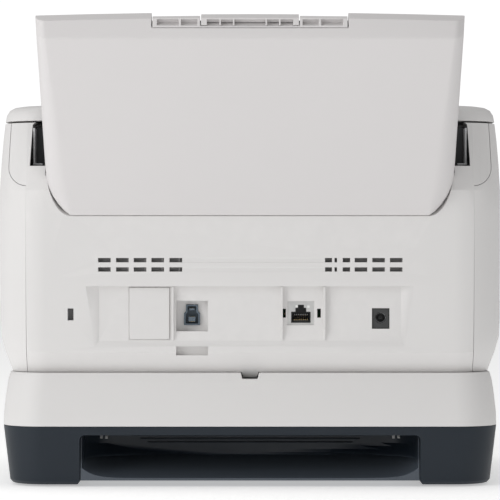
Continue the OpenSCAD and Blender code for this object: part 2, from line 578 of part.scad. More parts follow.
module slot_row(list) for (s = list) block(s[0], s[1], 42, 60, chute_len - 3.7, chute_len - 0.5);
module chute_extension() color([0.84, 0.84, 0.83]) placed() chute_frame() {
    block(-ext_hw + 0.4, ext_hw - 0.4, 41, 43, 22, chute_len - 4.6);
    difference() {
        intersection() { chute_solid(); block(-ext_hw, ext_hw, 41, 60, chute_len - 4.7, chute_len + 1); }
        block(-tip_hw - 0.6, tip_hw + 0.6, 30, 60, chute_len - 4, chute_len + 5);
        slot_row([[-54, -41.3], [-40, -30.5], [30.5, 40], [41.3, 54]]);
    }
}
module chute_extension_tip() color([0.84, 0.84, 0.83]) placed() chute_frame() {
    block(-tip_hw + 0.4, tip_hw - 0.4, 38.7, 40.7, 28, chute_len - 3.4);
    difference() {
        intersection() { chute_solid(); block(-tip_hw, tip_hw, 38.7, 60, chute_len - 3.5, chute_len + 1); }
        slot_row([[-25, -17.8], [-16.8, -9.9], [-9, 9], [9.9, 16.8], [17.8, 25]]);
    }
}

// ---------- side guides ----------
// Rack teeth along X from x0 to x1, pointing to -Y of the drawing plane, pitch line on y = 0
pitch = PI * tooth;
module rack_2d(n0, n1, back) polygon(concat([[n0 * pitch, back], [n0 * pitch, 0.8 * tooth]],
    [for (i = [n0:n1 - 1]) each [
        [i * pitch + pitch * 0.31, 0.8 * tooth], [i * pitch + pitch * 0.43, -0.7 * tooth],
        [i * pitch + pitch * 0.57, -0.7 * tooth], [i * pitch + pitch * 0.69, 0.8 * tooth]]],
    [[n1 * pitch, 0.8 * tooth], [n1 * pitch, back]]));
module pinion_2d() polygon([for (i = [0:pinion_teeth - 1]) let (a = 360 * i / pinion_teeth, p = 360 / pinion_teeth) each [
    (pinion_r - 0.95 * tooth) * [cos(a - p * 0.29), sin(a - p * 0.29)],
    pinion_r * [cos(a - p * 0.205), sin(a - p * 0.205)],
    (pinion_r + 0.7 * tooth) * [cos(a - p * 0.09), sin(a - p * 0.09)],
    (pinion_r + 0.7 * tooth) * [cos(a + p * 0.09), sin(a + p * 0.09)],
    pinion_r * [cos(a + p * 0.205), sin(a + p * 0.205)],
    (pinion_r - 0.95 * tooth) * [cos(a + p * 0.29), sin(a + p * 0.29)]]]);

module guide_pinion() color([0.85, 0.85, 0.8]) placed() chute_frame() difference() {
    translate([0, rack_y + rack_t, pinion_z]) rotate([90, 0, 0]) linear_extrude(rack_t) rotate(180 / pinion_teeth) pinion_2d();
    translate([0, rack_y + 5, pinion_z]) rotate([90, 0, 0]) cylinder(h = 8, r = 2);
}
module guide() {
    // rack above the pinion, from the stem at +X inwards past the centre
    translate([0, rack_y + rack_t, pinion_z + pinion_r]) rotate([90, 0, 0]) linear_extrude(rack_t)
        translate([-pitch / 2, 0]) rack_2d(-2, 43, 2.6);
    block(98, 104, 35.2, rack_y + rack_t, pinion_z - 1.4, pinion_z + 1.4);
    block(98, 103, rack_y, rack_y + rack_t, pinion_z - 1.4, pinion_z + pinion_r + 2.6);
    block(86, 108, bed_face - 1.4, bed_face - 0.3, pinion_z - 9, pinion_z + 24);
    across(107, 110) polygon(concat([[bed_face - 0.3, -37], [bed_face - 0.3, -2]], arc(0, 0, 34.6, -3, 38, 8),
        [[20, 18], [20, -23], [33, -37]]));
}
module guide_right() color([0.2, 0.21, 0.23]) placed() chute_frame() guide();
module guide_left() color([0.2, 0.21, 0.23]) placed() chute_frame() {
    mirror([1, 0, 0]) difference() {
        guide();
        block(-200, 200, rack_y - 0.2, 60, pinion_z + 1.4, 20);
        block(-200, 97, rack_y - 0.2, 60, -60, 20);
    }
    translate([0, 0, 2 * pinion_z]) rotate([0, 180, 0]) intersection() {
        guide();
        block(-200, 200, rack_y, 60, -60, 20);
    }
}

// ---------- front cover ----------
module cover_region() across(-200, 200) polygon(concat(
    [[70, 221.4], [70, 240], [-90, 240], [-90, cover_z]], arc(cover_y, cover_z, cover_r, 180, 373.6, 20), [[19.8, 221.4]]));

module front_cover() color([0.88, 0.88, 0.87]) placed() difference() {
    intersection() {
        full_solid();
        union() { cover_region(); both_sides() block(chute_hw + 1.4, 160, 60, 100, 221.4, 240); }
    }
    difference() {
        full_solid(wall);
        block(-200, 200, 70 - wall, 100, 200, 240);
    }
    both_sides() block(mouth_hw + 2.8, 142, 60, 80, 200, 228);
    rod(-139, 139, cover_y, cover_z, cover_r - wall);
    block(-139, 139, cover_y, 15, 80, 104);
    face_frame() {
        through(-5, 1.6) polygon(rounded(-96.3, -34.3, 96.3, 34.3, 8.3));
        through(-5, 10) polygon(rounded(-90, -29, 90, 29, 4));
    }
    translate([118, 34, 220]) linear_extrude(20) polygon(rounded(-12.3, -7.3, 12.3, 7.3, 3.3));
}

module cover_guide() color([0.12, 0.13, 0.14]) placed() difference() {
    union() {
        path_frame() block(-bed_hw, bed_hw, -3.6, -1.4, -86, -3);
        across(-bed_hw, bed_hw) polygon([[87.6, 148], on_path(-3.6, -3.5), on_path(-1.4, -3.5), [91, 148.4], [87, 163], [77, 195], [69.8, 216],
            [67.4, 221.2], [64.5, 221.2], [67, 214], [74.6, 194], [84.6, 162.4]]);
    }
    path_frame() {
        block(-22, 22, -20, 5, -20, -4.2);
        for (x = [-78, -42, 42, 78]) block(x - 9, x + 9, -12, 5, -39.6, -26.4);
        for (x = [-78, -42, 42, 78]) block(x - 9, x + 9, -12, 5, -86.5, -73.4);
        block(-bed_hw + 3.7, bed_hw - 3.7, -12, 5, -72, -58.8);
    }
}

module cover_frame() color([0.14, 0.15, 0.16]) placed() both_sides() {
    difference() {
        across(117.2, 119.6) polygon(concat([[26, 102], [70, 146], [74, 160], [66, 190], [62, 219], [22, 219], [-20, 120]],
            arc(cover_y, cover_z, 7.5, 130, 290, 10), [[-22, 96]]));
        rod(110, 125, cover_y, cover_z, 3.06);
    }
    across(0, 117.4) polygon([[60, 200], [68, 200], [62, 219], [54, 219]]);
    across(0, 117.4) polygon([[18, 106], [28, 106], [28, 108], [21, 108], [21, 118], [18, 118]]);
}
module cover_pins() color([0.7, 0.71, 0.73]) placed() both_sides() rod(114.5, 122.5, cover_y, cover_z, 2.98);

module front_scan_unit() color([0.1, 0.1, 0.11]) placed() path_frame() difference() {
    block(-107, 107, -16.5, -3.6, -72, -58.6);
    block(-104, 104, -13, -1, -69.5, -61.5);
}
module front_scan_glass() color([0.55, 0.65, 0.62]) placed() path_frame() block(-107, 107, -3.5, -1.5, -71.8, -59);

module path_rod(x0, x1, y, z, r) path_frame() rod(x0, x1, y, z, r);
module idler_set(z, r, spread) {
    for (x = spread) path_rod(x - 7, x + 7, -1.4 - r, z, r);
    path_rod(-104, 104, -1.4 - r, z, 1.6);
}
module separation_roller() color([0.22, 0.22, 0.23]) placed() {
    path_rod(-19, 19, -1.4 - 8.5, -12, 8.5);
    path_rod(-26, 26, -1.4 - 8.5, -12, 2);
}
module upper_idlers() color([0.75, 0.75, 0.73]) placed() idler_set(-33, 5, [-78, -42, 42, 78]);
module lower_idlers() color([0.75, 0.75, 0.73]) placed() idler_set(-80, 5, [-78, -42, 42, 78]);

module panel_bezel() color([0.06, 0.06, 0.07]) placed() face_frame() difference() {
    union() {
        through(-0.5, 1.5) polygon(rounded(-96, -34, 96, 34, 8));
        for (p = button_spots) translate([p[0], 3.4, p[1]]) rotate([90, 0, 0]) cylinder(h = 2, r = p[2] + 1.6);
    }
    through(-5, 5) polygon(rounded(-90.2, -28.2, 20.2, 28.2, 2));
    for (p = button_spots) translate([p[0], 10, p[1]]) rotate([90, 0, 0]) cylinder(h = 20, r = p[2] + 0.25);
}
module touch_screen() color([0.03, 0.04, 0.05]) placed() face_frame() {
    through(-0.4, 1.2) polygon(rounded(-90, -28, 20, 28, 1.9));
    through(1.1, 5.5) polygon(rounded(-87, -26, 17, 26, 1.5));
}
button_spots = [[38, 18, 6], [42, -14, 8], [72, -8, 12]];
module button(p) face_frame() translate([p[0], 4.4, p[1]]) rotate([90, 0, 0]) {
    cylinder(h = 5.6, r = p[2]);
    translate([0, 0, -1]) cylinder(h = 1.01, r = p[2] + 1.2);
}
module power_button() color([0.75, 0.76, 0.77]) placed() button(button_spots[0]);
module stop_button() color([0.75, 0.76, 0.77]) placed() button(button_spots[1]);
module scan_button() color([0.1, 0.45, 0.75]) placed() button(button_spots[2]);
module release_button() color([0.6, 0.61, 0.62]) placed() translate([118, 34, 0]) {
    translate([0, 0, 225]) linear_extrude(7.2) polygon(rounded(-12, -7, 12, 7, 3));
    translate([0, 0, 225]) linear_extrude(2) polygon(rounded(-13.5, -8.5, 13.5, 8.5, 3));
}

base_lower_shell();
handle_liner();
base_upper_shell();
rubber_feet();
base_screws();
exit_guide();
rear_cover();
side_cover_left();
side_cover_right();
option_cover();
hopper_frame();
hopper_rims();
feed_bed();
frame_plate_left();
frame_plate_right();
shaft_bushes();
rear_scan_unit();
rear_scan_glass();
main_board();
usb_port();
lan_port();
dc_jack();
lock_plate();
drive_motor();
drive_belt();
pick_belt();
chute_shell();
chute_bed();
chute_pins();
chute_extension();
chute_extension_tip();
guide_left();
guide_right();
guide_pinion();
pick_roller();
pick_shaft();
feed_rollers();
feed_shaft();
exit_rollers();
exit_shaft();
motor_pulley();
front_cover();
cover_guide();
cover_frame();
cover_pins();
front_scan_unit();
front_scan_glass();
panel_bezel();
touch_screen();
separation_roller();
upper_idlers();
lower_idlers();
power_button();
stop_button();
scan_button();
release_button();
output_tray();
tray_extension();
tray_stopper();
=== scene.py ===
import json
import math

import bmesh
import bpy
from mathutils import Matrix, Vector


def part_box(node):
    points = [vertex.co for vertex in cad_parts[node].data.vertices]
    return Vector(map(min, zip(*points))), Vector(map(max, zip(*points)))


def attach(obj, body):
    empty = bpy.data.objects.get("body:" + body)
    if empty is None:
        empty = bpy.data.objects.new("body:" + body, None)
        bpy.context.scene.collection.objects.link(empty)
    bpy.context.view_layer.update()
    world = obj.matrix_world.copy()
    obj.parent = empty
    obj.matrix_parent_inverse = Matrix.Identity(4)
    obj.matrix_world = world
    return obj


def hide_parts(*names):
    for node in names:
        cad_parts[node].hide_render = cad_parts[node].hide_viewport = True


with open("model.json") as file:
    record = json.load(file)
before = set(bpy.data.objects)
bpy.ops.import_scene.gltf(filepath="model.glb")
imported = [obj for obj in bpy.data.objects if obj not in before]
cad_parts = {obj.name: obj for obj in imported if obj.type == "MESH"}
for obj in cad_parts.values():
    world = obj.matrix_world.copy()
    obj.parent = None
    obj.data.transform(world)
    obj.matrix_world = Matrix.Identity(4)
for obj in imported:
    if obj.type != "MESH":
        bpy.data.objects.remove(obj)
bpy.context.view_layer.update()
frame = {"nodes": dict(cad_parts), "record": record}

record = frame["record"]
scene = bpy.context.scene
scene.view_settings.view_transform = "Standard"
print("frame loaded:", len(frame["nodes"]), "nodes")

# from behind, level with the middle of the object, a long way off
cameraSetup = {"distance": 1.69, "height": 0.1428, "lens": 191.75, "sensor": 36.0}


def makeCamera(setup):
    data = bpy.data.cameras.new("camera")
    data.lens = setup["lens"]
    data.sensor_width = setup["sensor"]
    data.clip_end = 30
    camera = bpy.data.objects.new("camera", data)
    scene.collection.objects.link(camera)
    camera.location = (0, setup["distance"], setup["height"])
    camera.rotation_euler = (math.radians(90), 0, math.radians(180))
    scene.camera = camera


makeCamera(cameraSetup)


class Signal:
    # a shader socket that takes part in Python expressions
    def __init__(self, tree, socket):
        self.tree = tree
        self.socket = socket

    def add(self, kind, settings=None, values=None, output=0):
        # any node: its type, its settings, then the values or links of its sockets
        node = self.tree.nodes.new(kind)
        for key, value in (settings or {}).items():
            if key == "stops":
                for element, (position, shade) in zip(node.color_ramp.elements, value):
                    element.position = position
                    element.color = (shade, shade, shade, 1)
            else:
                setattr(node, key, value)
        for key, value in (values or {}).items():
            if isinstance(value, Signal):
                self.tree.links.new(value.socket, node.inputs[key])
            else:
                node.inputs[key].default_value = value
        return Signal(self.tree, node.outputs[output])

    def maths(self, operation, first, second):
        return self.add("ShaderNodeMath", {"operation": operation}, {0: first, 1: second})

    def __add__(self, other):
        return self.maths("ADD", self, other)

    def __radd__(self, other):
        return self.maths("ADD", other, self)

    def __sub__(self, other):
        return self.maths("SUBTRACT", self, other)

    def __rsub__(self, other):
        return self.maths("SUBTRACT", other, self)

    def __mul__(self, other):
        return self.maths("MULTIPLY", self, other)

    def __rmul__(self, other):
        return self.maths("MULTIPLY", other, self)

    def noise(self, scale, detail=2.0, roughness=0.5):
        return self.add("ShaderNodeTexNoise", None,
                        {"Vector": self, "Scale": scale, "Detail": detail, "Roughness": roughness})

    def ramp(self, *stops):
        # two stops, each a position and a grey level
        return self.add("ShaderNodeValToRGB", {"stops": stops}, {0: self})

    def blend(self, low, high):
        # self is the mask; sockets 6 and 7 are the two colours, output 2 the mixed one
        return self.add("ShaderNodeMix", {"data_type": "RGBA"}, {0: self, 6: low, 7: high}, 2)

    def bump(self, distance, strength=1.0, under=None):
        values = {"Height": self, "Distance": distance, "Strength": strength}
        if under is not None:
            values["Normal"] = under
        return self.add("ShaderNodeBump", None, values)

    def stretched(self, scale):
        return self.add("ShaderNodeMapping", None, {"Vector": self, "Scale": scale})


def rgb(colour, share=1.0):
    return (colour[0] * share, colour[1] * share, colour[2] * share, 1)


def makeFinish(name, constants, paint):
    # constants go straight to the shader's sockets; paint links what changes over the surface
    material = bpy.data.materials.new(name)
    material.use_nodes = True
    tree = material.node_tree
    shader = tree.nodes["Principled BSDF"]
    for key, value in constants.items():
        shader.inputs[key].default_value = value
    where = Signal(tree, tree.nodes.new("ShaderNodeTexCoord").outputs["Object"])
    for key, value in paint(where).items():
        tree.links.new(value.socket, shader.inputs[key])
    return material


def wornEdges(where, low=0.53, high=0.62):
    # 1 along outside edges that hands and cloths rub
    pointed = where.add("ShaderNodeNewGeometry", output=7)
    patches = where.noise(130.0, 3.0).ramp((0.35, 0.25), (0.7, 1.0))
    return pointed.ramp((low, 0.0), (high, 1.0)) * patches


# spark-eroded moulding: a fine grain over a faint long wave, handling marks in the gloss, rubbed edges
def mouldedPlastic(colour, roughness, grain, grainDepth, drift=0.02, rubbed=1.06):
    def paint(where):
        fine = where.noise(grain, 3.0, 0.62)
        pits = where.noise(grain * 0.37, 2.0, 0.5)
        broad = where.noise(9.0, 2.0)
        smear = where.noise(48.0, 4.0, 0.6)
        worn = wornEdges(where)
        tint = broad * 0.55 + smear * 0.25 + fine * 0.2
        shade = tint.blend(rgb(colour, 1 - drift), rgb(colour, 1 + drift))
        base = (worn * 0.6).blend(shade, rgb(colour, rubbed))
        gloss = roughness - 0.05 + smear * 0.06 + fine * 0.06 - worn * 0.1
        swell = broad.bump(0.0004, 0.05)
        return {"Base Color": base, "Roughness": gloss,
                "Normal": (fine * 0.7 + pits * 0.3).bump(grainDepth, 0.5, swell)}
    return paint


# the moulding of the carrying recess: below the given height its sloping floor is painted paler, a
# painted light that stands in for the diffuse light the floor catches
def floorWithPaintedLight(colour, paintedLitColour, height):
    plain = mouldedPlastic(colour, 0.4, 1700.0, 0.00005, 0.08)

    def paint(where):
        inputs = plain(where)
        level = where.add("ShaderNodeSeparateXYZ", None, {"Vector": where}, 2) * 10
        low = level.ramp((height * 10 - 0.02, 1.0), (height * 10 + 0.02, 0.0))
        # painted light: the floor below the height is lightened, mottled a little by noise
        patch = low * (0.8 + where.noise(60.0, 4.0, 0.6) * 0.4)
        inputs["Base Color"] = patch.blend(inputs["Base Color"], rgb(paintedLitColour))
        return inputs
    return paint


def rubberGrip(colour, dustColour=(0.11, 0.108, 0.104)):
    def paint(where):
        fine = where.noise(2600.0, 2.0)
        dust = where.noise(160.0, 5.0, 0.7).ramp((0.5, 0.0), (0.8, 1.0))
        worn = wornEdges(where)
        base = (dust * 0.3 + worn * 0.25).blend(rgb(colour), rgb(dustColour))
        return {"Base Color": base, "Roughness": 0.74 + dust * 0.16 - worn * 0.1,
                "Normal": fine.bump(0.00007, 0.6)}
    return paint


def brushedMetal(colour, roughness, along):
    def paint(where):
        lines = where.stretched(along).noise(900.0, 4.0, 0.7)
        stain = where.noise(60.0, 3.0)
        worn = wornEdges(where)
        base = worn.blend(stain.blend(rgb(colour, 0.88), rgb(colour, 1.06)), rgb(colour, 1.25))
        return {"Base Color": base, "Roughness": roughness - 0.08 + lines * 0.16 + stain * 0.05,
                "Normal": lines.bump(0.00002, 0.5)}
    return paint


def glossPlastic(colour, roughness):
    def paint(where):
        smear = where.noise(70.0, 4.0, 0.65)
        wave = where.noise(30.0, 1.0)
        worn = wornEdges(where)
        base = (worn * 0.5).blend(smear.blend(rgb(colour, 0.93), rgb(colour, 1.06)), rgb(colour, 1.5))
        return {"Base Color": base, "Roughness": roughness + smear * 0.07 + worn * 0.08,
                "Normal": wave.bump(0.0002, 0.05)}
    return paint


# solder mask over copper runs, with a scatter of plated holes
def circuitBoard(colour):
    def paint(where):
        runs = where.stretched((1, 1, 1.6)).add(
            "ShaderNodeTexBrick", {"offset": 0.35},
            {"Scale": 230.0, "Mortar Size": 0.045, "Mortar Smooth": 0.2, "Brick Width": 0.9}, 1)
        holes = where.add("ShaderNodeTexVoronoi", {"voronoi_dimensions": "3D"},
                          {"Vector": where, "Scale": 260.0})
        ring = holes.ramp((0.16, 1.0), (0.2, 0.0))
        mask = runs.blend(rgb(colour), rgb(colour, 1.9))
        return {"Base Color": ring.blend(mask, (0.42, 0.36, 0.2, 1)), "Roughness": 0.28 + runs * 0.2,
                "Metallic": ring * 0.8, "Normal": (runs + ring).bump(0.00004, 0.6)}
    return paint


def clearGlass(colour):
    def paint(where):
        smear = where.noise(40.0, 4.0, 0.6)
        return {"Base Color": smear.blend(rgb(colour, 0.93), rgb(colour, 1.05)),
                "Roughness": 0.02 + smear * 0.06}
    return paint


def glowing(colour):
    def paint(where):
        cells = where.noise(420.0, 1.0)
        cloud = where.noise(26.0, 2.0)
        return {"Base Color": cells.blend(rgb(colour, 0.8), rgb(colour)),
                "Emission Color": cloud.blend(rgb(colour, 0.85), rgb(colour))}
    return paint


def insulation(colour, stripe):
    # stands for lacquer and tape: bands that wrap round X
    def paint(where):
        bands = where.add("ShaderNodeTexWave", {"bands_direction": "X"},
                          {"Vector": where, "Scale": 160.0, "Distortion": 0.6, "Detail": 2.0})
        return {"Base Color": bands.blend(rgb(colour), rgb(stripe)), "Roughness": 0.35 + bands * 0.2,
                "Normal": bands.bump(0.00005, 0.5)}
    return paint


# one finish for each material slot of the record
finishes = {
    "shell_white": makeFinish("mouldedWhite", {"IOR": 1.46},
                              mouldedPlastic((0.755, 0.742, 0.733), 0.5, 2100.0, 0.00004)),
    "chute_grey": makeFinish("mouldedChute", {"IOR": 1.46},
                             mouldedPlastic((0.705, 0.685, 0.682), 0.55, 1700.0, 0.00005)),
    "shell_dark": makeFinish("mouldedSlate", {"IOR": 1.38},
                             mouldedPlastic((0.012, 0.0185, 0.027), 0.46, 1700.0, 0.00005, 0.08, 1.7)),
    "inner_black": makeFinish("mouldedBlack", {"IOR": 1.46},
                              mouldedPlastic((0.034, 0.035, 0.038), 0.5, 1900.0, 0.00005, 0.08, 1.6)),
    "rim_grey": makeFinish("rimGrey", {"IOR": 1.46},
                           mouldedPlastic((0.33, 0.335, 0.34), 0.45, 2100.0, 0.00004)),
    "rubber": makeFinish("rollerRubber", {"IOR": 1.5}, rubberGrip((0.02, 0.02, 0.021))),
    "steel": makeFinish("drawnSteel", {"Metallic": 1.0},
                        brushedMetal((0.56, 0.565, 0.58), 0.32, (0.05, 1, 1))),
    "acetal": makeFinish("acetal", {"IOR": 1.48},
                         mouldedPlastic((0.7, 0.69, 0.64), 0.38, 1500.0, 0.00003)),
    "scan_glass": makeFinish("scanGlass", {"IOR": 1.5, "Transmission Weight": 0.9},
                             clearGlass((0.8, 0.86, 0.84))),
    "circuit": makeFinish("circuitBoard", {"IOR": 1.5}, circuitBoard((0.008, 0.075, 0.03))),
    "usb_blue": makeFinish("socketBlue", {"IOR": 1.5}, glossPlastic((0.12, 0.155, 0.19), 0.4)),
    "port_metal": makeFinish("portShield", {"Metallic": 0.85},
                             brushedMetal((0.6, 0.6, 0.59), 0.34, (1, 1, 0.1))),
    "jack_black": makeFinish("jackBlack", {"IOR": 1.48}, glossPlastic((0.05, 0.0505, 0.051), 0.42)),
    "motor_case": makeFinish("motorCase", {"Metallic": 0.6},
                             brushedMetal((0.09, 0.09, 0.095), 0.4, (1, 1, 1))),
    "panel_black": makeFinish("panelBlack", {"IOR": 1.5, "Coat Weight": 0.4},
                              glossPlastic((0.008, 0.008, 0.009), 0.14)),
    "button_silver": makeFinish("buttonSilver", {"IOR": 1.5},
                                glossPlastic((0.5, 0.505, 0.515), 0.3)),
    "button_blue": makeFinish("buttonBlue", {"IOR": 1.5}, glossPlastic((0.012, 0.14, 0.4), 0.25)),
}
# finishes of small trim that shares a slot with its neighbour
extras = {
    "goldContacts": makeFinish("goldContacts", {"Metallic": 1.0},
                               brushedMetal((0.78, 0.58, 0.28), 0.25, (1, 0.2, 1))),
    "paleWindow": makeFinish("paleWindow", {"IOR": 1.49}, glossPlastic((0.8, 0.81, 0.79), 0.2)),
    "calibrationWhite": makeFinish("calibrationWhite", {"IOR": 1.45},
                                   rubberGrip((0.82, 0.82, 0.8), (0.7, 0.7, 0.66))),
    "screenBlue": makeFinish("screenBlue", {"Emission Strength": 0.55},
                             glowing((0.05, 0.24, 0.55))),
    "screenPale": makeFinish("screenPale", {"Emission Strength": 0.6}, glowing((0.72, 0.78, 0.84))),
    "screenGlow": makeFinish("screenGlow", {"Emission Strength": 0.3}, glowing((0.07, 0.1, 0.14))),
    "markWhite": makeFinish("markWhite", {"IOR": 1.45}, glossPlastic((0.7, 0.71, 0.72), 0.4)),
    "chipBlack": makeFinish("chipBlack", {"IOR": 1.5},
                            rubberGrip((0.018, 0.018, 0.02), (0.05, 0.05, 0.05))),
    "canSleeve": makeFinish("canSleeve", {"IOR": 1.5},
                            insulation((0.02, 0.03, 0.07), (0.03, 0.05, 0.12))),
    "coilCopper": makeFinish("coilCopper", {"Metallic": 1.0},
                             brushedMetal((0.7, 0.3, 0.13), 0.3, (1, 1, 1))),
    "ventGrey": makeFinish("ventGrey", {"IOR": 1.45},
                           mouldedPlastic((0.3, 0.295, 0.295), 0.6, 900.0, 0.0001, 0.3)),
    # the recess liner: its lower floor lightened with painted light
    "recessSlate": makeFinish("recessSlate", {"IOR": 1.46},
                              floorWithPaintedLight((0.02, 0.028, 0.04), (0.075, 0.09, 0.11), 0.0155)),
    "rimPale": makeFinish("rimPale", {"IOR": 1.46},
                          mouldedPlastic((0.66, 0.665, 0.67), 0.45, 2100.0, 0.00004)),
    "holeGrey": makeFinish("holeGrey", {"IOR": 1.45},
                           mouldedPlastic((0.1, 0.104, 0.108), 0.5, 1500.0, 0.00006, 0.2)),
    "gripWhite": makeFinish("gripWhite", {"IOR": 1.46},
                            mouldedPlastic((0.74, 0.735, 0.73), 0.4, 1500.0, 0.00004)),
}
slotOf = {entry["node"]: entry["material_slot"] for entry in record["subparts"]}
bodyOf = {node: body for body, nodes in record["behaviour"]["bodies"].items() for node in nodes}
for node, piece in frame["nodes"].items():
    piece.data.materials.clear()
    piece.data.materials.append(finishes[slotOf[node]])
print("finishes made:", len(finishes) + len(extras))

# drawing frames in millimetres; the base starts 120 mm in front of the drawing's middle
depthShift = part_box("base_lower_shell")[0].y + 0.12
wholeFrame = Matrix.Translation((0, depthShift, 0)) @ Matrix.Scale(0.001, 4)


def leaningFrame(y, z, lean):
    return wholeFrame @ Matrix.Translation((0, y, z)) @ Matrix.Rotation(math.radians(lean), 4, "X")


chuteFrame = leaningFrame(80, 200, -28)
pathFrame = leaningFrame(92.068, 146.015, -45)  # the sloping paper path
faceFrame = leaningFrame(-36.5, 168, -14.4)  # the front face, seen from its -Y side
axes = {"X": Vector((1, 0, 0)), "Y": Vector((0, 1, 0)), "Z": Vector((0, 0, 1))}


def joinInto(bm, part):
    mesh = bpy.data.meshes.new("joined")
    part.to_mesh(mesh)
    part.free()
    bm.from_mesh(mesh)
    bpy.data.meshes.remove(mesh)


def breakEdges(bm, edges, width, segments=2, clamp=True):
    if edges and width:
        bmesh.ops.bevel(bm, geom=edges, offset=width, offset_type="OFFSET", segments=segments,
                        profile=0.5, affect="EDGES", material=-1, clamp_overlap=clamp)


def sharpEdges(bm, angle):
    limit = math.radians(angle)
    return [edge for edge in bm.edges if len(edge.link_faces) == 2 and edge.calc_face_angle(0) > limit]


def addBlock(bm, low, high, edge=0.0, corner=0.0, across="Y", segments=2):
    # a box; corner rounds the four edges that run along the across axis, edge breaks all the others
    part = bmesh.new()
    bmesh.ops.create_cube(part, size=1.0)
    bmesh.ops.scale(part, vec=[b - a for a, b in zip(low, high)], verts=part.verts)
    bmesh.ops.translate(part, vec=[(a + b) / 2 for a, b in zip(low, high)], verts=part.verts)
    if corner:
        along = [e for e in part.edges if abs((e.verts[0].co - e.verts[1].co).dot(axes[across])) > 1e-6]
        breakEdges(part, along, corner, 5)
    breakEdges(part, sharpEdges(part, 40), edge, segments)
    joinInto(bm, part)


def addTurned(bm, profile, centre, axis="X", steps=40):
    # the profile lists (along the axis, radius) and is spun once round it
    part = bmesh.new()
    side = axes["Z"] if axis != "Z" else axes["X"]
    chain = [part.verts.new(Vector(centre) + axes[axis] * along + side * radius)
             for along, radius in profile]
    edges = [part.edges.new(pair) for pair in zip(chain, chain[1:])]
    bmesh.ops.spin(part, geom=chain + edges, cent=centre, axis=axes[axis], angle=math.tau, steps=steps,
                   use_merge=True)
    bmesh.ops.remove_doubles(part, verts=part.verts, dist=1e-4)
    bmesh.ops.recalc_face_normals(part, faces=part.faces)
    joinInto(bm, part)


def addRod(bm, start, end, across, radius, edge, steps):
    # a plain round bar along X with broken ends; across is its centre (y, z)
    length = end - start
    addTurned(bm, [(0, 0), (0, radius - edge), (edge, radius), (length - edge, radius),
                   (length, radius - edge), (length, 0)], (start, *across), "X", steps)


def addPrism(bm, outline, low, high, across, edge=0.0, segments=2):
    # a few points drawn across the X or Y axis and pulled along it
    place = {"X": lambda a, b, c: (c, a, b), "Y": lambda a, b, c: (a, c, b)}[across]
    part = bmesh.new()
    face = part.faces.new([part.verts.new(place(a, b, low)) for a, b in outline])
    pulled = bmesh.ops.extrude_face_region(part, geom=[face], use_keep_orig=True)
    moved = [item for item in pulled["geom"] if isinstance(item, bmesh.types.BMVert)]
    bmesh.ops.translate(part, vec=place(0, 0, high - low), verts=moved)
    bmesh.ops.recalc_face_normals(part, faces=part.faces)
    breakEdges(part, sharpEdges(part, 40), edge, segments)
    joinInto(bm, part)


def addKnurled(bm, start, end, across, radius, ribs, depth, margin):
    # a drum whose sides are cut into pockets, so that ribs stand between them
    part = bmesh.new()
    bmesh.ops.create_cone(part, cap_ends=True, segments=ribs * 2, radius1=radius, radius2=radius,
                          depth=end - start)
    bmesh.ops.rotate(part, cent=(0, 0, 0), matrix=Matrix.Rotation(math.radians(90), 3, "Y"),
                     verts=part.verts)
    bmesh.ops.translate(part, vec=((start + end) / 2, *across), verts=part.verts)
    part.faces.ensure_lookup_table()
    sides = [face for face in part.faces if abs(face.normal.x) < 0.5]
    middle = Vector((0, *across))
    sides.sort(key=lambda face: math.atan2(*(face.calc_center_median() - middle).yz))
    bmesh.ops.inset_individual(part, faces=sides[::2], thickness=margin, depth=-depth,
                               use_even_offset=True)
    joinInto(bm, part)


def placePiece(bm, name, slot, body, finish=None, smoothAngle=35, frameOf=None, weighted=False,
               replaces=None):
    # finish names one of the extras; frameOf carries a piece drawn in millimetres into the shared frame
    if frameOf is not None:
        bmesh.ops.transform(bm, matrix=frameOf, verts=bm.verts)
    mesh = bpy.data.meshes.new(name)
    bm.to_mesh(mesh)
    bm.free()
    mesh.materials.append(extras[finish] if finish else finishes[slot])
    mesh.shade_smooth()
    mesh.set_sharp_from_angle(angle=math.radians(smoothAngle))
    piece = bpy.data.objects.new(name, mesh)
    scene.collection.objects.link(piece)
    if weighted:
        piece.modifiers.new("normals", "WEIGHTED_NORMAL").keep_sharp = True
    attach(piece, body)
    if replaces:
        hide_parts(replaces)


def refineNode(node, width, smoothAngle, joined):
    # the CAD part with its edges broken; a joined one has its triangles merged into whole faces first
    bm = bmesh.new()
    bm.from_mesh(frame["nodes"][node].data)
    bmesh.ops.remove_doubles(bm, verts=bm.verts, dist=2e-6)
    if joined:
        bmesh.ops.dissolve_limit(bm, angle_limit=math.radians(0.6), verts=bm.verts, edges=bm.edges)
    breakEdges(bm, sharpEdges(bm, 34), width / 1000, clamp=joined)
    placePiece(bm, node + "_fine", slotOf[node], bodyOf[node], partFinish.get(node), smoothAngle,
               weighted=True, replaces=node)


partFinish = {"hopper_frame": "holeGrey", "handle_liner": "recessSlate", "hopper_rims": "rimPale"}
joinedParts = ("rear_cover", "side_cover_left", "side_cover_right", "chute_bed", "tray_extension",
               "tray_stopper")

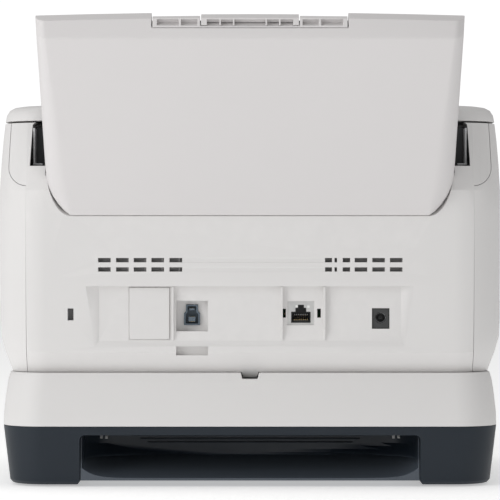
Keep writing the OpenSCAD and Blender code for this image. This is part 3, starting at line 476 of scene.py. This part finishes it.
# edge radius in millimetres, and the angle in degrees up to which a surface stays smooth
edgeBreaks = {
    "base_lower_shell": (0.5, 30), "base_upper_shell": (0.5, 30), "rear_cover": (0.25, 14),
    "side_cover_left": (0.3, 19), "side_cover_right": (0.3, 19), "option_cover": (0.3, 30),
    "front_cover": (0.5, 30), "chute_shell": (0.3, 24), "chute_extension": (0.2, 24),
    "chute_extension_tip": (0.2, 24), "output_tray": (0.5, 40), "tray_extension": (0.4, 40),
    "tray_stopper": (0.4, 40), "panel_bezel": (0.3, 40), "touch_screen": (0.2, 40),
    "power_button": (0.5, 40), "stop_button": (0.5, 40), "scan_button": (0.25, 40),
    "release_button": (0.5, 40), "exit_guide": (0.3, 40), "hopper_frame": (0.2, 40),
    "hopper_rims": (0.3, 40), "feed_bed": (0.2, 30), "chute_bed": (0.3, 40), "cover_guide": (0.2, 30),
    "cover_frame": (0.2, 40), "frame_plate_left": (0.15, 40), "frame_plate_right": (0.15, 40),
    "rear_scan_unit": (0.3, 40), "front_scan_unit": (0.3, 40), "main_board": (0.1, 40),
    "usb_port": (0.12, 40), "lan_port": (0.12, 40), "dc_jack": (0.2, 40), "guide_left": (0.1, 40),
    "guide_right": (0.1, 40), "guide_pinion": (0.08, 30), "shaft_bushes": (0.25, 40),
    "base_screws": (0.12, 40), "lock_plate": (0.15, 40), "drive_motor": (0.4, 40),
    "handle_liner": (0.15, 40), "rear_scan_glass": (0.15, 40), "front_scan_glass": (0.15, 40),
}
for node, (width, smoothAngle) in edgeBreaks.items():
    refineNode(node, width, smoothAngle, node in joinedParts)
print("CAD parts refined:", len(edgeBreaks))

# carrying recess: stiffening ribs across its back, and the two latch tongues at its ceiling
recessTrim = {"ribHeights": (22.9, 25.1, 27.3), "ribReach": 68, "ribThick": 0.8, "tongueSpread": 90,
              "tongue": [(72, 30.8), (72, 27.4), (74.6, 26.6), (75.4, 27.6), (74, 28.6), (74, 30.8)]}


def makeRecessTrim(trim):
    bm = bmesh.new()
    for height in trim["ribHeights"]:
        reach = trim["ribReach"] + (height - 25) * 2
        addBlock(bm, (-reach, 57, height), (reach, 59.6, height + trim["ribThick"]), 0.25)
    addBlock(bm, (-84, 56.5, 29.6), (84, 63, 30.8), 0.4)
    placePiece(bm, "recess_ribs", "shell_dark", "base", frameOf=wholeFrame)
    bm = bmesh.new()
    for side in (-1, 1):
        middle = side * trim["tongueSpread"]
        for offset in (-1.6, 1.6):
            addPrism(bm, trim["tongue"], middle + offset - 0.8, middle + offset + 0.8, "X", 0.2)
        addBlock(bm, (middle - 2.6, 70.4, 28.6), (middle + 2.6, 72.2, 30.8), 0.2)
    placePiece(bm, "recess_tongues", "rim_grey", "base", "gripWhite", frameOf=wholeFrame)


# behind the vents: a baffle with upright fins
ventBaffle = {"face": 110.4, "fins": 19, "pitch": 10.3}


def makeVentBaffle(baffle):
    bm = bmesh.new()
    face = baffle["face"]
    addBlock(bm, (-98, face - 1.4, 126.8), (94, face, 141), 0.2)
    for i in range(baffle["fins"]):
        x = -92 + i * baffle["pitch"]
        addBlock(bm, (x, face - 0.1, 127.4), (x + 1.1, face + 1.7, 140.4), 0.15)
    addBlock(bm, (105.4, 106.2, 99), (110.8, 107.4, 109), 0.2)  # backing of the lock slot
    placePiece(bm, "vent_baffle", "inner_black", "base", "ventGrey", frameOf=wholeFrame)


# sockets at the rear, in the plane that faces the user: (x, z)
socketTrim = {"lanCavity": [(-36.52, 98.98), (-24.88, 98.98), (-24.88, 105.52), (-27.48, 105.52),
                            (-27.48, 107.92), (-28.88, 107.92), (-28.88, 109.72), (-32.52, 109.72),
                            (-32.52, 107.92), (-33.92, 107.92), (-33.92, 105.52), (-36.52, 105.52)],
              "jack": (-78.8, 102),
              "windows": [(-28.15, 108.9), (-35.3, 108.6)], "windowSize": 0.75,
              "rebates": [(48.2, 73.1, 88.6, 120.5, 109.7), (-39, -22.4, 97.4, 112.2, 109.3)]}


def makeSocketTrim(trim):
    part = bmesh.new()
    back = part.faces.new([part.verts.new((x, 99.1, z)) for x, z in trim["lanCavity"]])
    pulled = bmesh.ops.extrude_edge_only(part, edges=list(back.edges))
    moved = [item for item in pulled["geom"] if isinstance(item, bmesh.types.BMVert)]
    bmesh.ops.translate(part, vec=(0, 9.6, 0), verts=moved)
    bmesh.ops.recalc_face_normals(part, faces=part.faces)
    bmesh.ops.solidify(part, geom=list(part.faces), thickness=0.35)
    bm = bmesh.new()
    joinInto(bm, part)
    addBlock(bm, (-35.8, 99.2, 99.1), (-25.6, 106, 100.6), 0.15)
    placePiece(bm, "lan_insert", "jack_black", "base", frameOf=wholeFrame)
    bm = bmesh.new()
    for i in range(8):
        x = -34.6 + i * 1.12
        addPrism(bm, [(99.4, 103), (106.4, 100.5), (106.4, 100.9), (99.4, 103.5)],
                 x - 0.16, x + 0.16, "X")
    placePiece(bm, "lan_contacts", "port_metal", "base", "goldContacts", frameOf=wholeFrame)
    bm = bmesh.new()
    size = trim["windowSize"]
    for x, z in trim["windows"]:
        addBlock(bm, (x - size, 108.4, z - size), (x + size, 109.12, z + size), 0.15)
    placePiece(bm, "lan_windows", "port_metal", "base", "paleWindow", frameOf=wholeFrame)
    bm = bmesh.new()  # four contacts either side of the square tongue, five more above them
    for i in range(4):
        x = 33.75 + i * 0.9
        for z in (99.45, 102.35):
            addBlock(bm, (x - 0.22, 98.6, z), (x + 0.22, 104.3, z + 0.2), 0.04)
    for i in range(5):
        x = 33.85 + i * 0.62
        addBlock(bm, (x - 0.14, 98.6, 107.55), (x + 0.14, 103.9, 107.72), 0.03)
    placePiece(bm, "usb_contacts", "port_metal", "base", "goldContacts", frameOf=wholeFrame)
    bm = bmesh.new()
    x, z = trim["jack"]
    addTurned(bm, [(0, 0), (0, 1.03), (8.2, 1.03), (8.8, 0.6), (8.8, 0)], (x, 99.4, z), "Y", 24)
    addTurned(bm, [(0, 2.86), (0, 3.02), (6.6, 3.02), (6.6, 2.86), (0, 2.86)], (x, 99.6, z), "Y", 32)
    placePiece(bm, "jack_pin", "steel", "base", frameOf=wholeFrame)
    bm = bmesh.new()  # frames round the blanking plate and the network socket
    for left, right, low, high, face in trim["rebates"]:
        addBlock(bm, (left - 0.5, face - 1, low - 0.5), (left + 0.42, face, high + 0.5))
        addBlock(bm, (right - 0.42, face - 1, low - 0.5), (right + 0.5, face, high + 0.5))
        addBlock(bm, (left + 0.4, face - 1, low - 0.5), (right - 0.4, face, low + 0.42))
        addBlock(bm, (left + 0.4, face - 1, high - 0.42), (right - 0.4, face, high + 0.5))
    placePiece(bm, "rebate_frames", "shell_white", "base", frameOf=wholeFrame)


makeRecessTrim(recessTrim)
makeVentBaffle(ventBaffle)
makeSocketTrim(socketTrim)
print("rear details made")

footShape = {"profile": [(0, 0), (0.5, 0), (0.5, 4.2), (0, 5), (0, 7.1), (0.6, 7.9), (2.2, 8), (3, 8),
                         (3, 0)],
             "places": [(-125, -95), (125, -95), (-125, 85), (125, 85)]}


def makeFeet(shape):
    bm = bmesh.new()
    for x, y in shape["places"]:
        addTurned(bm, shape["profile"], (x, y, 0), "Z", 48)
    placePiece(bm, "rubber_feet_fine", "rubber", "base", frameOf=wholeFrame, replaces="rubber_feet")


# rollers and shafts lie across the paper path: (y, z) in its sloping frame
feedTrain = {"tyres": (-78, -42, 42, 78), "tyreWidth": 16, "tyreRadius": 7, "ribs": 26,
             "feed": (6, -33), "exit": (6, -80), "pick": (8, -12), "shaftRadius": 3,
             "bigPulley": (8.9, 36), "smallPulley": (5.9, 24), "rightPulley": 118, "leftPulley": -124.8}


def addTyre(bm, middle, width, radius, across, ribs):
    addKnurled(bm, middle - width / 2, middle + width / 2, across, radius, ribs, 0.55, 0.3)


def addPulley(bm, start, across, size):
    # toothed drum between two flanges; size is its radius and its number of teeth
    radius, teeth = size
    addKnurled(bm, start + 0.5, start + 6.3, across, radius, teeth, 0.5, 0.22)
    for edge in (start, start + 6):
        addTurned(bm, [(0, 2.9), (0, radius + 1.6), (0.2, radius + 1.8), (0.6, radius + 1.8),
                       (0.8, radius + 1.6), (0.8, 2.9), (0, 2.9)], (edge, *across), "X", 40)


def addShaft(bm, start, end, across, radius):
    # chamfered ends, each with a groove for its clip
    length = end - start
    groove = radius - 0.35
    addTurned(bm, [(0, 0), (0, radius - 0.4), (0.4, radius), (1.6, radius), (1.6, groove), (2.3, groove),
                   (2.3, radius), (length - 2.3, radius), (length - 2.3, groove), (length - 1.6, groove),
                   (length - 1.6, radius), (length - 0.4, radius), (length, radius - 0.4), (length, 0)],
              (start, *across), "X", 32)


def makeFeedTrain(train):
    for row in ("feed", "exit"):
        bm = bmesh.new()
        for x in train["tyres"]:
            addTyre(bm, x, train["tyreWidth"], train["tyreRadius"], train[row], train["ribs"])
        placePiece(bm, row + "_tyres", "rubber", row, frameOf=pathFrame, replaces=row + "_rollers")
        bm = bmesh.new()
        for x in train["tyres"]:  # hubs either side of each tyre
            for side in (-1, 1):
                addTurned(bm, [(-0.9, 2.9), (-0.9, 4.6), (0, 5.2), (0.9, 4.6), (0.9, 2.9), (-0.9, 2.9)],
                          (x + side * 8.9, *train[row]), "X", 32)
        addPulley(bm, train["rightPulley"], train[row], train["bigPulley"])
        if row == "feed":
            addPulley(bm, train["leftPulley"], train[row], train["smallPulley"])
        placePiece(bm, row + "_pulleys", "acetal", row, frameOf=pathFrame)
    bm = bmesh.new()
    for x in (-12, 12):
        addTyre(bm, x, 16, 9, train["pick"], 32)
    placePiece(bm, "pick_tyres", "rubber", "pick", frameOf=pathFrame, replaces="pick_roller")
    bm = bmesh.new()
    addPulley(bm, train["leftPulley"], train["pick"], train["smallPulley"])
    addTurned(bm, [(-3.6, 2.9), (-3.6, 6), (-3, 6.4), (3, 6.4), (3.6, 6), (3.6, 2.9), (-3.6, 2.9)],
              (0, *train["pick"]), "X", 32)
    placePiece(bm, "pick_pulley", "acetal", "pick", frameOf=pathFrame)
    for name, start, end, row in (("pick_shaft", -126, 118, "pick"), ("feed_shaft", -126, 126, "feed"),
                                  ("exit_shaft", -118, 126, "exit")):
        bm = bmesh.new()
        addShaft(bm, start, end, train[row], train["shaftRadius"])
        placePiece(bm, name + "_fine", "steel", bodyOf[name], frameOf=pathFrame, replaces=name)
    for name, z in (("upper_idlers", -33), ("lower_idlers", -80)):
        bm = bmesh.new()
        for x in train["tyres"]:
            addTurned(bm, [(-7, 1.6), (-7, 4.4), (-6.4, 4.8), (-3, 5), (3, 5), (6.4, 4.8), (7, 4.4),
                           (7, 1.6), (-7, 1.6)], (x, -6.4, z), "X", 36)
        addRod(bm, -104, 104, (-6.4, z), 1.6, 0.3, 20)
        placePiece(bm, name + "_fine", slotOf[name], bodyOf[name], frameOf=pathFrame, replaces=name)
    bm = bmesh.new()
    for middle in (-9.6, 9.6):
        addTyre(bm, middle, 18, 8.5, (-9.9, -12), 40)
    addRod(bm, -26, 26, (-9.9, -12), 2, 0.3, 20)
    placePiece(bm, "separation_roller_fine", "rubber", "separation", frameOf=pathFrame,
               replaces="separation_roller")


# hinge pins: inner and outer end of each pair, its axis (y, z) and its radius
hingePins = {"chute_pins": (112.2, 125, (80, 200), 4), "cover_pins": (114.5, 122.5, (-40, 100), 2.98)}


def makeHingePins(pins):
    for name, (inner, outer, across, radius) in pins.items():
        bm = bmesh.new()
        addRod(bm, inner, outer, across, radius, 0.5, 36)
        addRod(bm, -outer, -inner, across, radius, 0.5, 36)
        placePiece(bm, name + "_fine", "steel", bodyOf[name], frameOf=wholeFrame, replaces=name)


# toothed belts: the band is the CAD belt, with teeth along its straight runs
# each belt has its left edge and, for each run, the two shafts and the radii of their pulleys
beltDrive = {"pitch": 2.6, "height": 0.75, "width": 5.0, "motor": (91.5, 88), "loopMiddle": (68, 97),
             "runs": {"drive_belt": (118.9, [("motor", 6, "feed", 9), ("feed", 9, "exit", 9),
                                             ("exit", 9, "motor", 6)]),
                      "pick_belt": (-123.9, [("pick", 6, "feed", 6), ("feed", 6, "pick", 6)])}}


def makeBelts(drive):
    placed = {name: pathFrame @ Vector((0, *feedTrain[name])) for name in ("feed", "exit", "pick")}
    points = {name: ((p.y - depthShift) * 1000, p.z * 1000) for name, p in placed.items()}
    points["motor"] = drive["motor"]
    width, height = drive["width"], drive["height"]
    for belt, (start, spans) in drive["runs"].items():
        bm = bmesh.new()
        bm.from_mesh(frame["nodes"][belt].data)
        bmesh.ops.remove_doubles(bm, verts=bm.verts, dist=2e-6)
        bmesh.ops.dissolve_limit(bm, angle_limit=math.radians(0.6), verts=bm.verts, edges=bm.edges)
        for first, radiusA, second, radiusB in spans:
            a, b = Vector(points[first]), Vector(points[second])
            along = (b - a).normalized()
            lean = math.asin((radiusA - radiusB) / (b - a).length)
            outward = Vector((along.y, -along.x)) * math.cos(lean) + along * math.sin(lean)
            if belt == "drive_belt" and outward.dot(a - Vector(drive["loopMiddle"])) < 0:
                outward = -outward
            a, b = a + outward * (radiusA + 0.1), b + outward * (radiusB + 0.1)
            turn = math.atan2((b - a).y, (b - a).x)
            count = int((b - a).length / drive["pitch"])
            for i in range(1, count):
                middle = a.lerp(b, i / count)
                part = bmesh.new()
                bmesh.ops.create_cube(part, size=1.0)
                bmesh.ops.scale(part, vec=(width, 1.2, height), verts=part.verts)
                bmesh.ops.rotate(part, cent=(0, 0, 0), matrix=Matrix.Rotation(turn, 3, "X"),
                                 verts=part.verts)
                place = middle - outward * height * 0.4
                bmesh.ops.translate(part, vec=(start + width / 2, place.x, place.y), verts=part.verts)
                bmesh.ops.transform(part, matrix=wholeFrame, verts=part.verts)
                joinInto(bm, part)
        placePiece(bm, belt + "_fine", "rubber", "base", replaces=belt)
    bm = bmesh.new()
    addPulley(bm, feedTrain["rightPulley"], drive["motor"], feedTrain["smallPulley"])
    addRod(bm, 112, 125.5, drive["motor"], 2.5, 0.3, 24)
    placePiece(bm, "motor_pulley_fine", slotOf["motor_pulley"], "motor", frameOf=wholeFrame,
               replaces="motor_pulley")


makeFeet(footShape)
makeFeedTrain(feedTrain)
makeHingePins(hingePins)
makeBelts(beltDrive)
print("feet, rollers, pins and belts made")

# paper path: runners on both beds, and what is seen through the two glasses
pathRunners = {"bed": (26.5, 60, 92, 100), "guide": (26, 60, 92, 100), "height": 0.35}


def makePathDetails(runners):
    bm = bmesh.new()
    rise = runners["height"]
    for side in (-1, 1):
        for x in runners["bed"]:
            addBlock(bm, (side * x - 0.8, -rise, -86), (side * x + 0.8, 0.4, -58.5), 0.25)
            addBlock(bm, (side * x - 0.8, -rise, -40), (side * x + 0.8, 0.4, -6), 0.25)
    placePiece(bm, "bed_runners", "inner_black", "base", frameOf=pathFrame)
    bm = bmesh.new()
    for side in (-1, 1):
        for x in runners["guide"]:
            addBlock(bm, (side * x - 0.8, -1.8, -84), (side * x + 0.8, -1.4 + rise, -73.5), 0.25)
            addBlock(bm, (side * x - 0.8, -1.8, -57), (side * x + 0.8, -1.4 + rise, -6), 0.25)
    placePiece(bm, "guide_runners", "inner_black", "cover", frameOf=pathFrame)
    for name, body, y, z in (("rear_scan_bar", "base", (8.4, 10.9), (-53.3, -45.7)),
                             ("front_scan_bar", "cover", (-12.9, -10.2), (-69.3, -61.7))):
        bm = bmesh.new()
        addBlock(bm, (-103.8, y[0], z[0]), (103.8, y[1], z[0] + 2.6), 0.2)
        placePiece(bm, name, "acetal", body, "calibrationWhite", frameOf=pathFrame)
        bm = bmesh.new()
        addBlock(bm, (-103.8, y[0], z[0] + 3.2), (103.8, y[1], z[0] + 4.4), 0.1)
        for i in range(40):
            x = -101.4 + i * 5.2
            addBlock(bm, (x - 1.6, y[0] - 0.25, z[0] + 4.9), (x + 1.6, y[1] + 0.1, z[0] + 6.9), 0.15,
                     segments=1)
        placePiece(bm, name + "_sensors", "motor_case", body, frameOf=pathFrame)
    bm = bmesh.new()  # sheet sensors: small levers in the path, one in the middle and one at each side
    for x in (-28, 0, 30):
        addPrism(bm, [(1.5, -30), (-1.1, -33.5), (-1.1, -34.5), (1.5, -36)], x - 0.9, x + 0.9, "X", 0.25)
    placePiece(bm, "sheet_levers", "acetal", "base", frameOf=pathFrame)


# chute bed: raised rails, and paper-width ticks either side of the middle
bedMarks = {"widths": (52.5, 74, 91, 105), "tick": (97, 103), "level": (35.86, 36.2),
            "arrow": (14, 20, 26)}


def makeBedDetails(marks):
    bm = bmesh.new()
    low, high = marks["tick"]
    under, over = marks["level"]
    for half in marks["widths"]:
        for side in (-1, 1):
            x = side * half
            addBlock(bm, (x - 0.35, under, low), (x + 0.35, over, high), 0.05)
    tip, neck, tail = marks["arrow"]  # feed direction
    addPrism(bm, [(-5, neck), (0, tip), (5, neck), (1.4, neck), (1.4, tail), (-1.4, tail), (-1.4, neck)],
             under, over, "Y", 0.05)
    placePiece(bm, "bed_marks", "chute_grey", "chute", "markWhite", frameOf=chuteFrame)
    bm = bmesh.new()
    for x in (-75, -45, -15, 15, 45, 75):
        addBlock(bm, (x - 0.5, 35.6, 30), (x + 0.5, 36.4, 92), 0.2)
    placePiece(bm, "bed_rails", "inner_black", "chute", frameOf=chuteFrame)
    for name, body, side in (("guide_right_grip", "guide_r", 1), ("guide_left_grip", "guide_l", -1)):
        bm = bmesh.new()
        left, right = sorted((side * 109.8, side * 110.8))
        for i in range(9):
            z = -20 + i * 3.6
            addBlock(bm, (left, 22.5, z), (right, 32, z + 1.4), 0.35)
        placePiece(bm, name, slotOf["guide_right"], body, frameOf=chuteFrame)
    bm = bmesh.new()  # snap bosses that hold the bed to the shell
    for x in (-100, -33, 33, 100):
        for z in (20, 60):
            addTurned(bm, [(38.3, 0), (38.3, 2.6), (46, 2.2), (47.6, 2.2), (47.6, 0)], (x, 0, z),
                      "Y", 20)
    placePiece(bm, "bed_bosses", "inner_black", "chute", frameOf=chuteFrame)


makePathDetails(pathRunners)
makeBedDetails(bedMarks)
print("paper path and chute bed detailed")

trayRibs = {"pitch": 7.0, "reach": 112, "low": -66, "high": 24, "height": 0.5}


def makeTrayDetails(ribs):
    bm = bmesh.new()
    count = int(ribs["reach"] / ribs["pitch"])
    for i in range(-count, count + 1):
        x = i * ribs["pitch"]
        start = ribs["low"] if abs(x) < 64 else -106
        if min(abs(abs(x) - 84), abs(abs(x) - 106)) > 2.4:
            addBlock(bm, (x - 0.5, start, 47.2), (x + 0.5, ribs["high"], 47.4 + ribs["height"]), 0.2)
    placePiece(bm, "tray_ribs", "inner_black", "tray", frameOf=wholeFrame)
    bm = bmesh.new()
    for x in range(-52, 53, 8):
        addBlock(bm, (x - 0.5, -72, 43.3), (x + 0.5, 0, 43.9), 0.15)
    for x in (-4, 0, 4):
        addBlock(bm, (x - 0.7, -108.6, 48.7), (x + 0.7, -106.2, 49.3), 0.2)
    placePiece(bm, "extension_ribs", "inner_black", "tray_ext", frameOf=wholeFrame)
    bm = bmesh.new()
    for x in (-46, -34, 34, 46):
        addBlock(bm, (x - 4, -98, 47.2), (x + 4, -79, 47.9), 0.3, 1.5, "Z")
    placePiece(bm, "stopper_pads", "rubber", "stopper", frameOf=wholeFrame)
    bm = bmesh.new()  # ribs down the ramp under the exit rollers
    for i in range(14):
        x = -97.5 + i * 15
        addPrism(bm, [(46.2, 70.8), (45.6, 71.9), (10, 51.9), (9.2, 50.2)], x - 0.6, x + 0.6, "X", 0.2)
    placePiece(bm, "ramp_ribs", "inner_black", "base", frameOf=wholeFrame)


# control panel: what the lit screen shows, and the marks on the buttons; (x, z) on the sloping face
panelLayout = {"face": -0.38, "tiles": (-70, -42, -14), "tileSize": 21, "tileLow": -13,
               "bar": (-85, 15, 19.4, 24.2), "markFace": -1.28, "markThick": 0.12,
               "power": (38, 18), "stop": (42, -14), "scan": (72, -8),
               # signs round the middle of each tile: a sheet, a folder, an envelope in two halves
               "tileSigns": [
                   [[(-4, -5.5), (4, -5.5), (4, 3), (1.5, 5.5), (-4, 5.5)]],
                   [[(-6, -4.5), (6, -4.5), (6, 3), (0, 3), (-1.5, 4.8), (-6, 4.8)]],
                   [[(-6, -4.2), (6, -4.2), (6, 2.6), (0, -1.4), (-6, 2.6)],
                    [(-6, 4.2), (0, -0.2), (6, 4.2)]]],
               # the scan button's sign: a sheet's corner and an arrow
               "scanSign": [[(-4.4, -5), (4.4, -5), (4.4, -3.9), (-3.3, -3.9), (-3.3, 3.9), (-4.4, 5)],
                            [(-0.6, -1), (1, -1), (1, 2), (2.8, 2), (0.2, 5.2), (-2.4, 2), (-0.6, 2)]]}


def flatPlate(bm, x0, z0, x1, z1, y, thick, corner):
    addBlock(bm, (x0, y - thick, z0), (x1, y, z1), 0, corner, "Y")


def makePanelDetails(layout):
    face = layout["face"]
    bm = bmesh.new()
    flatPlate(bm, -85.5, -24.5, 15.5, 24.5, face, 0.05, 1.4)
    placePiece(bm, "screen_ground", "panel_black", "cover", "screenGlow", frameOf=faceFrame)
    bm = bmesh.new()
    size, tileLow = layout["tileSize"], layout["tileLow"]
    for x in layout["tiles"]:
        flatPlate(bm, x - size / 2, tileLow, x + size / 2, tileLow + size, face, 0.1, 2.4)
    left, right, low, high = layout["bar"]
    flatPlate(bm, left, low, right, high, face, 0.1, 1)
    placePiece(bm, "screen_tiles", "panel_black", "cover", "screenBlue", frameOf=faceFrame)
    bm = bmesh.new()
    top = face - 0.16
    middle = tileLow + size / 2
    for x, outlines in zip(layout["tiles"], layout["tileSigns"]):
        for outline in outlines:
            addPrism(bm, [(x + a, middle + b) for a, b in outline], top, top + 0.1, "Y")
        flatPlate(bm, x - 6, tileLow - 4.6, x + 6, tileLow - 2.6, face, 0.1, 0.6)
    for i in range(3):
        addTurned(bm, [(0, 0), (0, 0.9), (0.08, 0.9), (0.08, 0)], (-82 + i * 3.2, top, 21.8), "Y", 16)
    placePiece(bm, "screen_symbols", "panel_black", "cover", "screenPale", frameOf=faceFrame)
    y = layout["markFace"]
    back = y + layout["markThick"]
    for name in ("power", "stop", "scan"):
        x, z = layout[name]
        bm = bmesh.new()
        if name == "power":  # ring and bar
            addTurned(bm, [(0, 2.1), (0, 2.6), (0.12, 2.6), (0.12, 2.1), (0, 2.1)], (x, y, z), "Y", 40)
            flatPlate(bm, x - 0.3, z + 0.4, x + 0.3, z + 3.2, back, 0.14, 0.12)
        elif name == "stop":
            flatPlate(bm, x - 2.4, z - 2.4, x + 2.4, z + 2.4, back, layout["markThick"], 0.4)
        else:
            for outline in layout["scanSign"]:
                addPrism(bm, [(x + a, z + b) for a, b in outline], y, back, "Y")
        placePiece(bm, name + "_mark", slotOf[name + "_button"], name,
                   "markWhite" if name == "scan" else "chipBlack", frameOf=faceFrame)
    bm = bmesh.new()  # lit ring round the scan button
    x, z = layout["scan"]
    addTurned(bm, [(0.2, 13), (-0.12, 13.2), (-0.12, 14), (0.2, 14.2), (0.2, 13)], (x, -0.5, z),
              "Y", 72)
    placePiece(bm, "scan_ring", "button_blue", "cover", "screenBlue", frameOf=faceFrame)
    bm = bmesh.new()
    for x in (107.8, 111.2, 114.6, 118, 121.4, 124.8, 128.2):
        addBlock(bm, (x - 0.55, 30, 232), (x + 0.55, 38, 232.55), 0.2)
    placePiece(bm, "release_ribs", "button_silver", "release", frameOf=wholeFrame)


makeTrayDetails(trayRibs)
makePanelDetails(panelLayout)
print("tray and control panel detailed")

# on the board: chips (x, z, width, height, how far each stands off), cans (x, z, radius), screws (x, z)
boardParts = {"face": 96,
              "chips": [(-20, 106, 14, 14, 1.6), (14, 114, 9, 7, 1.2), (-70, 110, 12, 8, 1.4),
                        (44, 112, 10, 10, 1.5), (-45, 84, 7, 5, 1), (60, 96, 8, 5, 1.2)],
              "cans": [(-84, 82, 4), (-76, 84, 4), (30, 86, 3.2), (38, 88, 3.2), (70, 84, 5)],
              "screws": [(-92, 78), (-92, 119), (78, 78), (78, 119)]}


def makeBoardParts(parts):
    face = parts["face"]
    bm = bmesh.new()
    for x, z, width, height, stand in parts["chips"]:
        addBlock(bm, (x - width / 2, face + 0.1 - stand, z - height / 2),
                 (x + width / 2, face + 0.1, z + height / 2), 0.15)
    placePiece(bm, "board_chips", "circuit", "base", "chipBlack", frameOf=wholeFrame)
    bm = bmesh.new()
    for x, z, width, height in (chip[:4] for chip in parts["chips"]):
        for i in range(int(width)):
            for end in (-1, 1):
                pin = x - width / 2 + 0.5 + i
                foot = z + end * (height / 2 + 0.5)
                addBlock(bm, (pin - 0.18, 95.7, foot - 0.5), (pin + 0.18, 95.95, foot + 0.5))
    for x, z in parts["screws"]:
        addTurned(bm, [(-2.2, 0), (-2.2, 1.4), (-1.5, 2.6), (0.2, 2.9), (0.2, 0)], (x, face, z), "Y", 20)
    placePiece(bm, "board_pins", "port_metal", "base", frameOf=wholeFrame)
    bm = bmesh.new()
    for x, z, radius in parts["cans"]:
        addTurned(bm, [(0, 0), (0, radius), (-9, radius), (-9.4, radius - 0.5), (-9.2, 0)],
                  (x, face, z), "Y", 24)
    placePiece(bm, "board_cans", "circuit", "base", "canSleeve", frameOf=wholeFrame)
    bm = bmesh.new()
    addTurned(bm, [(-0.4, 4), (-0.4, 8.6), (0.4, 9), (3, 9), (3.4, 8.6), (3.4, 4), (-0.4, 4)],
              (58, 91.5, 84), "Y", 32)
    placePiece(bm, "board_coil", "circuit", "base", "coilCopper", frameOf=wholeFrame)
    bm = bmesh.new()  # screws on the outside of both chassis plates
    for side in (-1, 1):
        for y, z in ((96, 76), (96, 124), (60, 78), (10, 76)):
            addTurned(bm, [(0, 0), (0, 3.2), (side * 0.9, 3), (side * 1.5, 2), (side * 1.6, 0)],
                      (side * 116.1, y, z), "X", 24)
        for y, z in ((80.5, 99), (100.5, 77)):
            addTurned(bm, [(0, 0), (0, 2.3), (side * 0.9, 2.1), (side * 1.1, 0)],
                      (side * 116, y, z), "X", 20)
    placePiece(bm, "chassis_screws", "steel", "base", frameOf=wholeFrame)


makeBoardParts(boardParts)
print("board and chassis parts made")


stage = {"radius": 6.0, "colour": (0.9, 0.9, 0.9, 1), "roughness": 0.9, "glow": 0.42}


def makeStage(look):
    # a pale disc that glows a little, so that it runs into the backdrop
    bm = bmesh.new()
    bmesh.ops.create_circle(bm, cap_ends=True, segments=96, radius=look["radius"])
    mesh = bpy.data.meshes.new("floor")
    bm.to_mesh(mesh)
    bm.free()
    floor = bpy.data.objects.new("floor", mesh)
    scene.collection.objects.link(floor)
    paper = bpy.data.materials.new("floorPaper")
    paper.use_nodes = True
    shader = paper.node_tree.nodes["Principled BSDF"]
    shader.inputs["Base Color"].default_value = look["colour"]
    shader.inputs["Roughness"].default_value = look["roughness"]
    shader.inputs["Emission Color"].default_value = (1, 1, 1, 1)
    shader.inputs["Emission Strength"].default_value = look["glow"]
    mesh.materials.append(paper)


def areaLight(name, place, aim, size, power):
    data = bpy.data.lights.new(name, "AREA")
    data.shape = "RECTANGLE"
    data.size, data.size_y = size
    data.energy = power
    lamp = bpy.data.objects.new(name, data)
    scene.collection.objects.link(lamp)
    lamp.location = place
    lamp.rotation_euler = (Vector(aim) - Vector(place)).to_track_quat("-Z", "Y").to_euler()


def makeWorld(fill, backdrop):
    # the camera sees the backdrop level, the object is lit by the fill level
    world = bpy.data.worlds.new("studio")
    world.use_nodes = True
    tree = world.node_tree
    tree.nodes.clear()
    seen = Signal(tree, tree.nodes.new("ShaderNodeLightPath").outputs["Is Camera Ray"])
    light = seen.add("ShaderNodeBackground", None,
                     {"Color": (1, 1, 1, 1), "Strength": fill + seen * (backdrop - fill)})
    output = tree.nodes.new("ShaderNodeOutputWorld")
    tree.links.new(light.socket, output.inputs["Surface"])
    scene.world = world


# the key stands to the viewer's left of the rear, low enough to rake across it
# each light has its place, what it is aimed at, its size and its power
lights = {"key": ((1.45, 1.15, 0.75), (0.05, 0.08, 0.13), (0.9, 1.3), 12),
          "top": ((0.3, 0.1, 1.9), (0, 0, 0.1), (1.6, 1.6), 5.5)}
makeStage(stage)
for name, (place, aim, size, power) in lights.items():
    areaLight(name + "Light", place, aim, size, power)
makeWorld(fill=0.41, backdrop=1.05)
print("stage and light set")
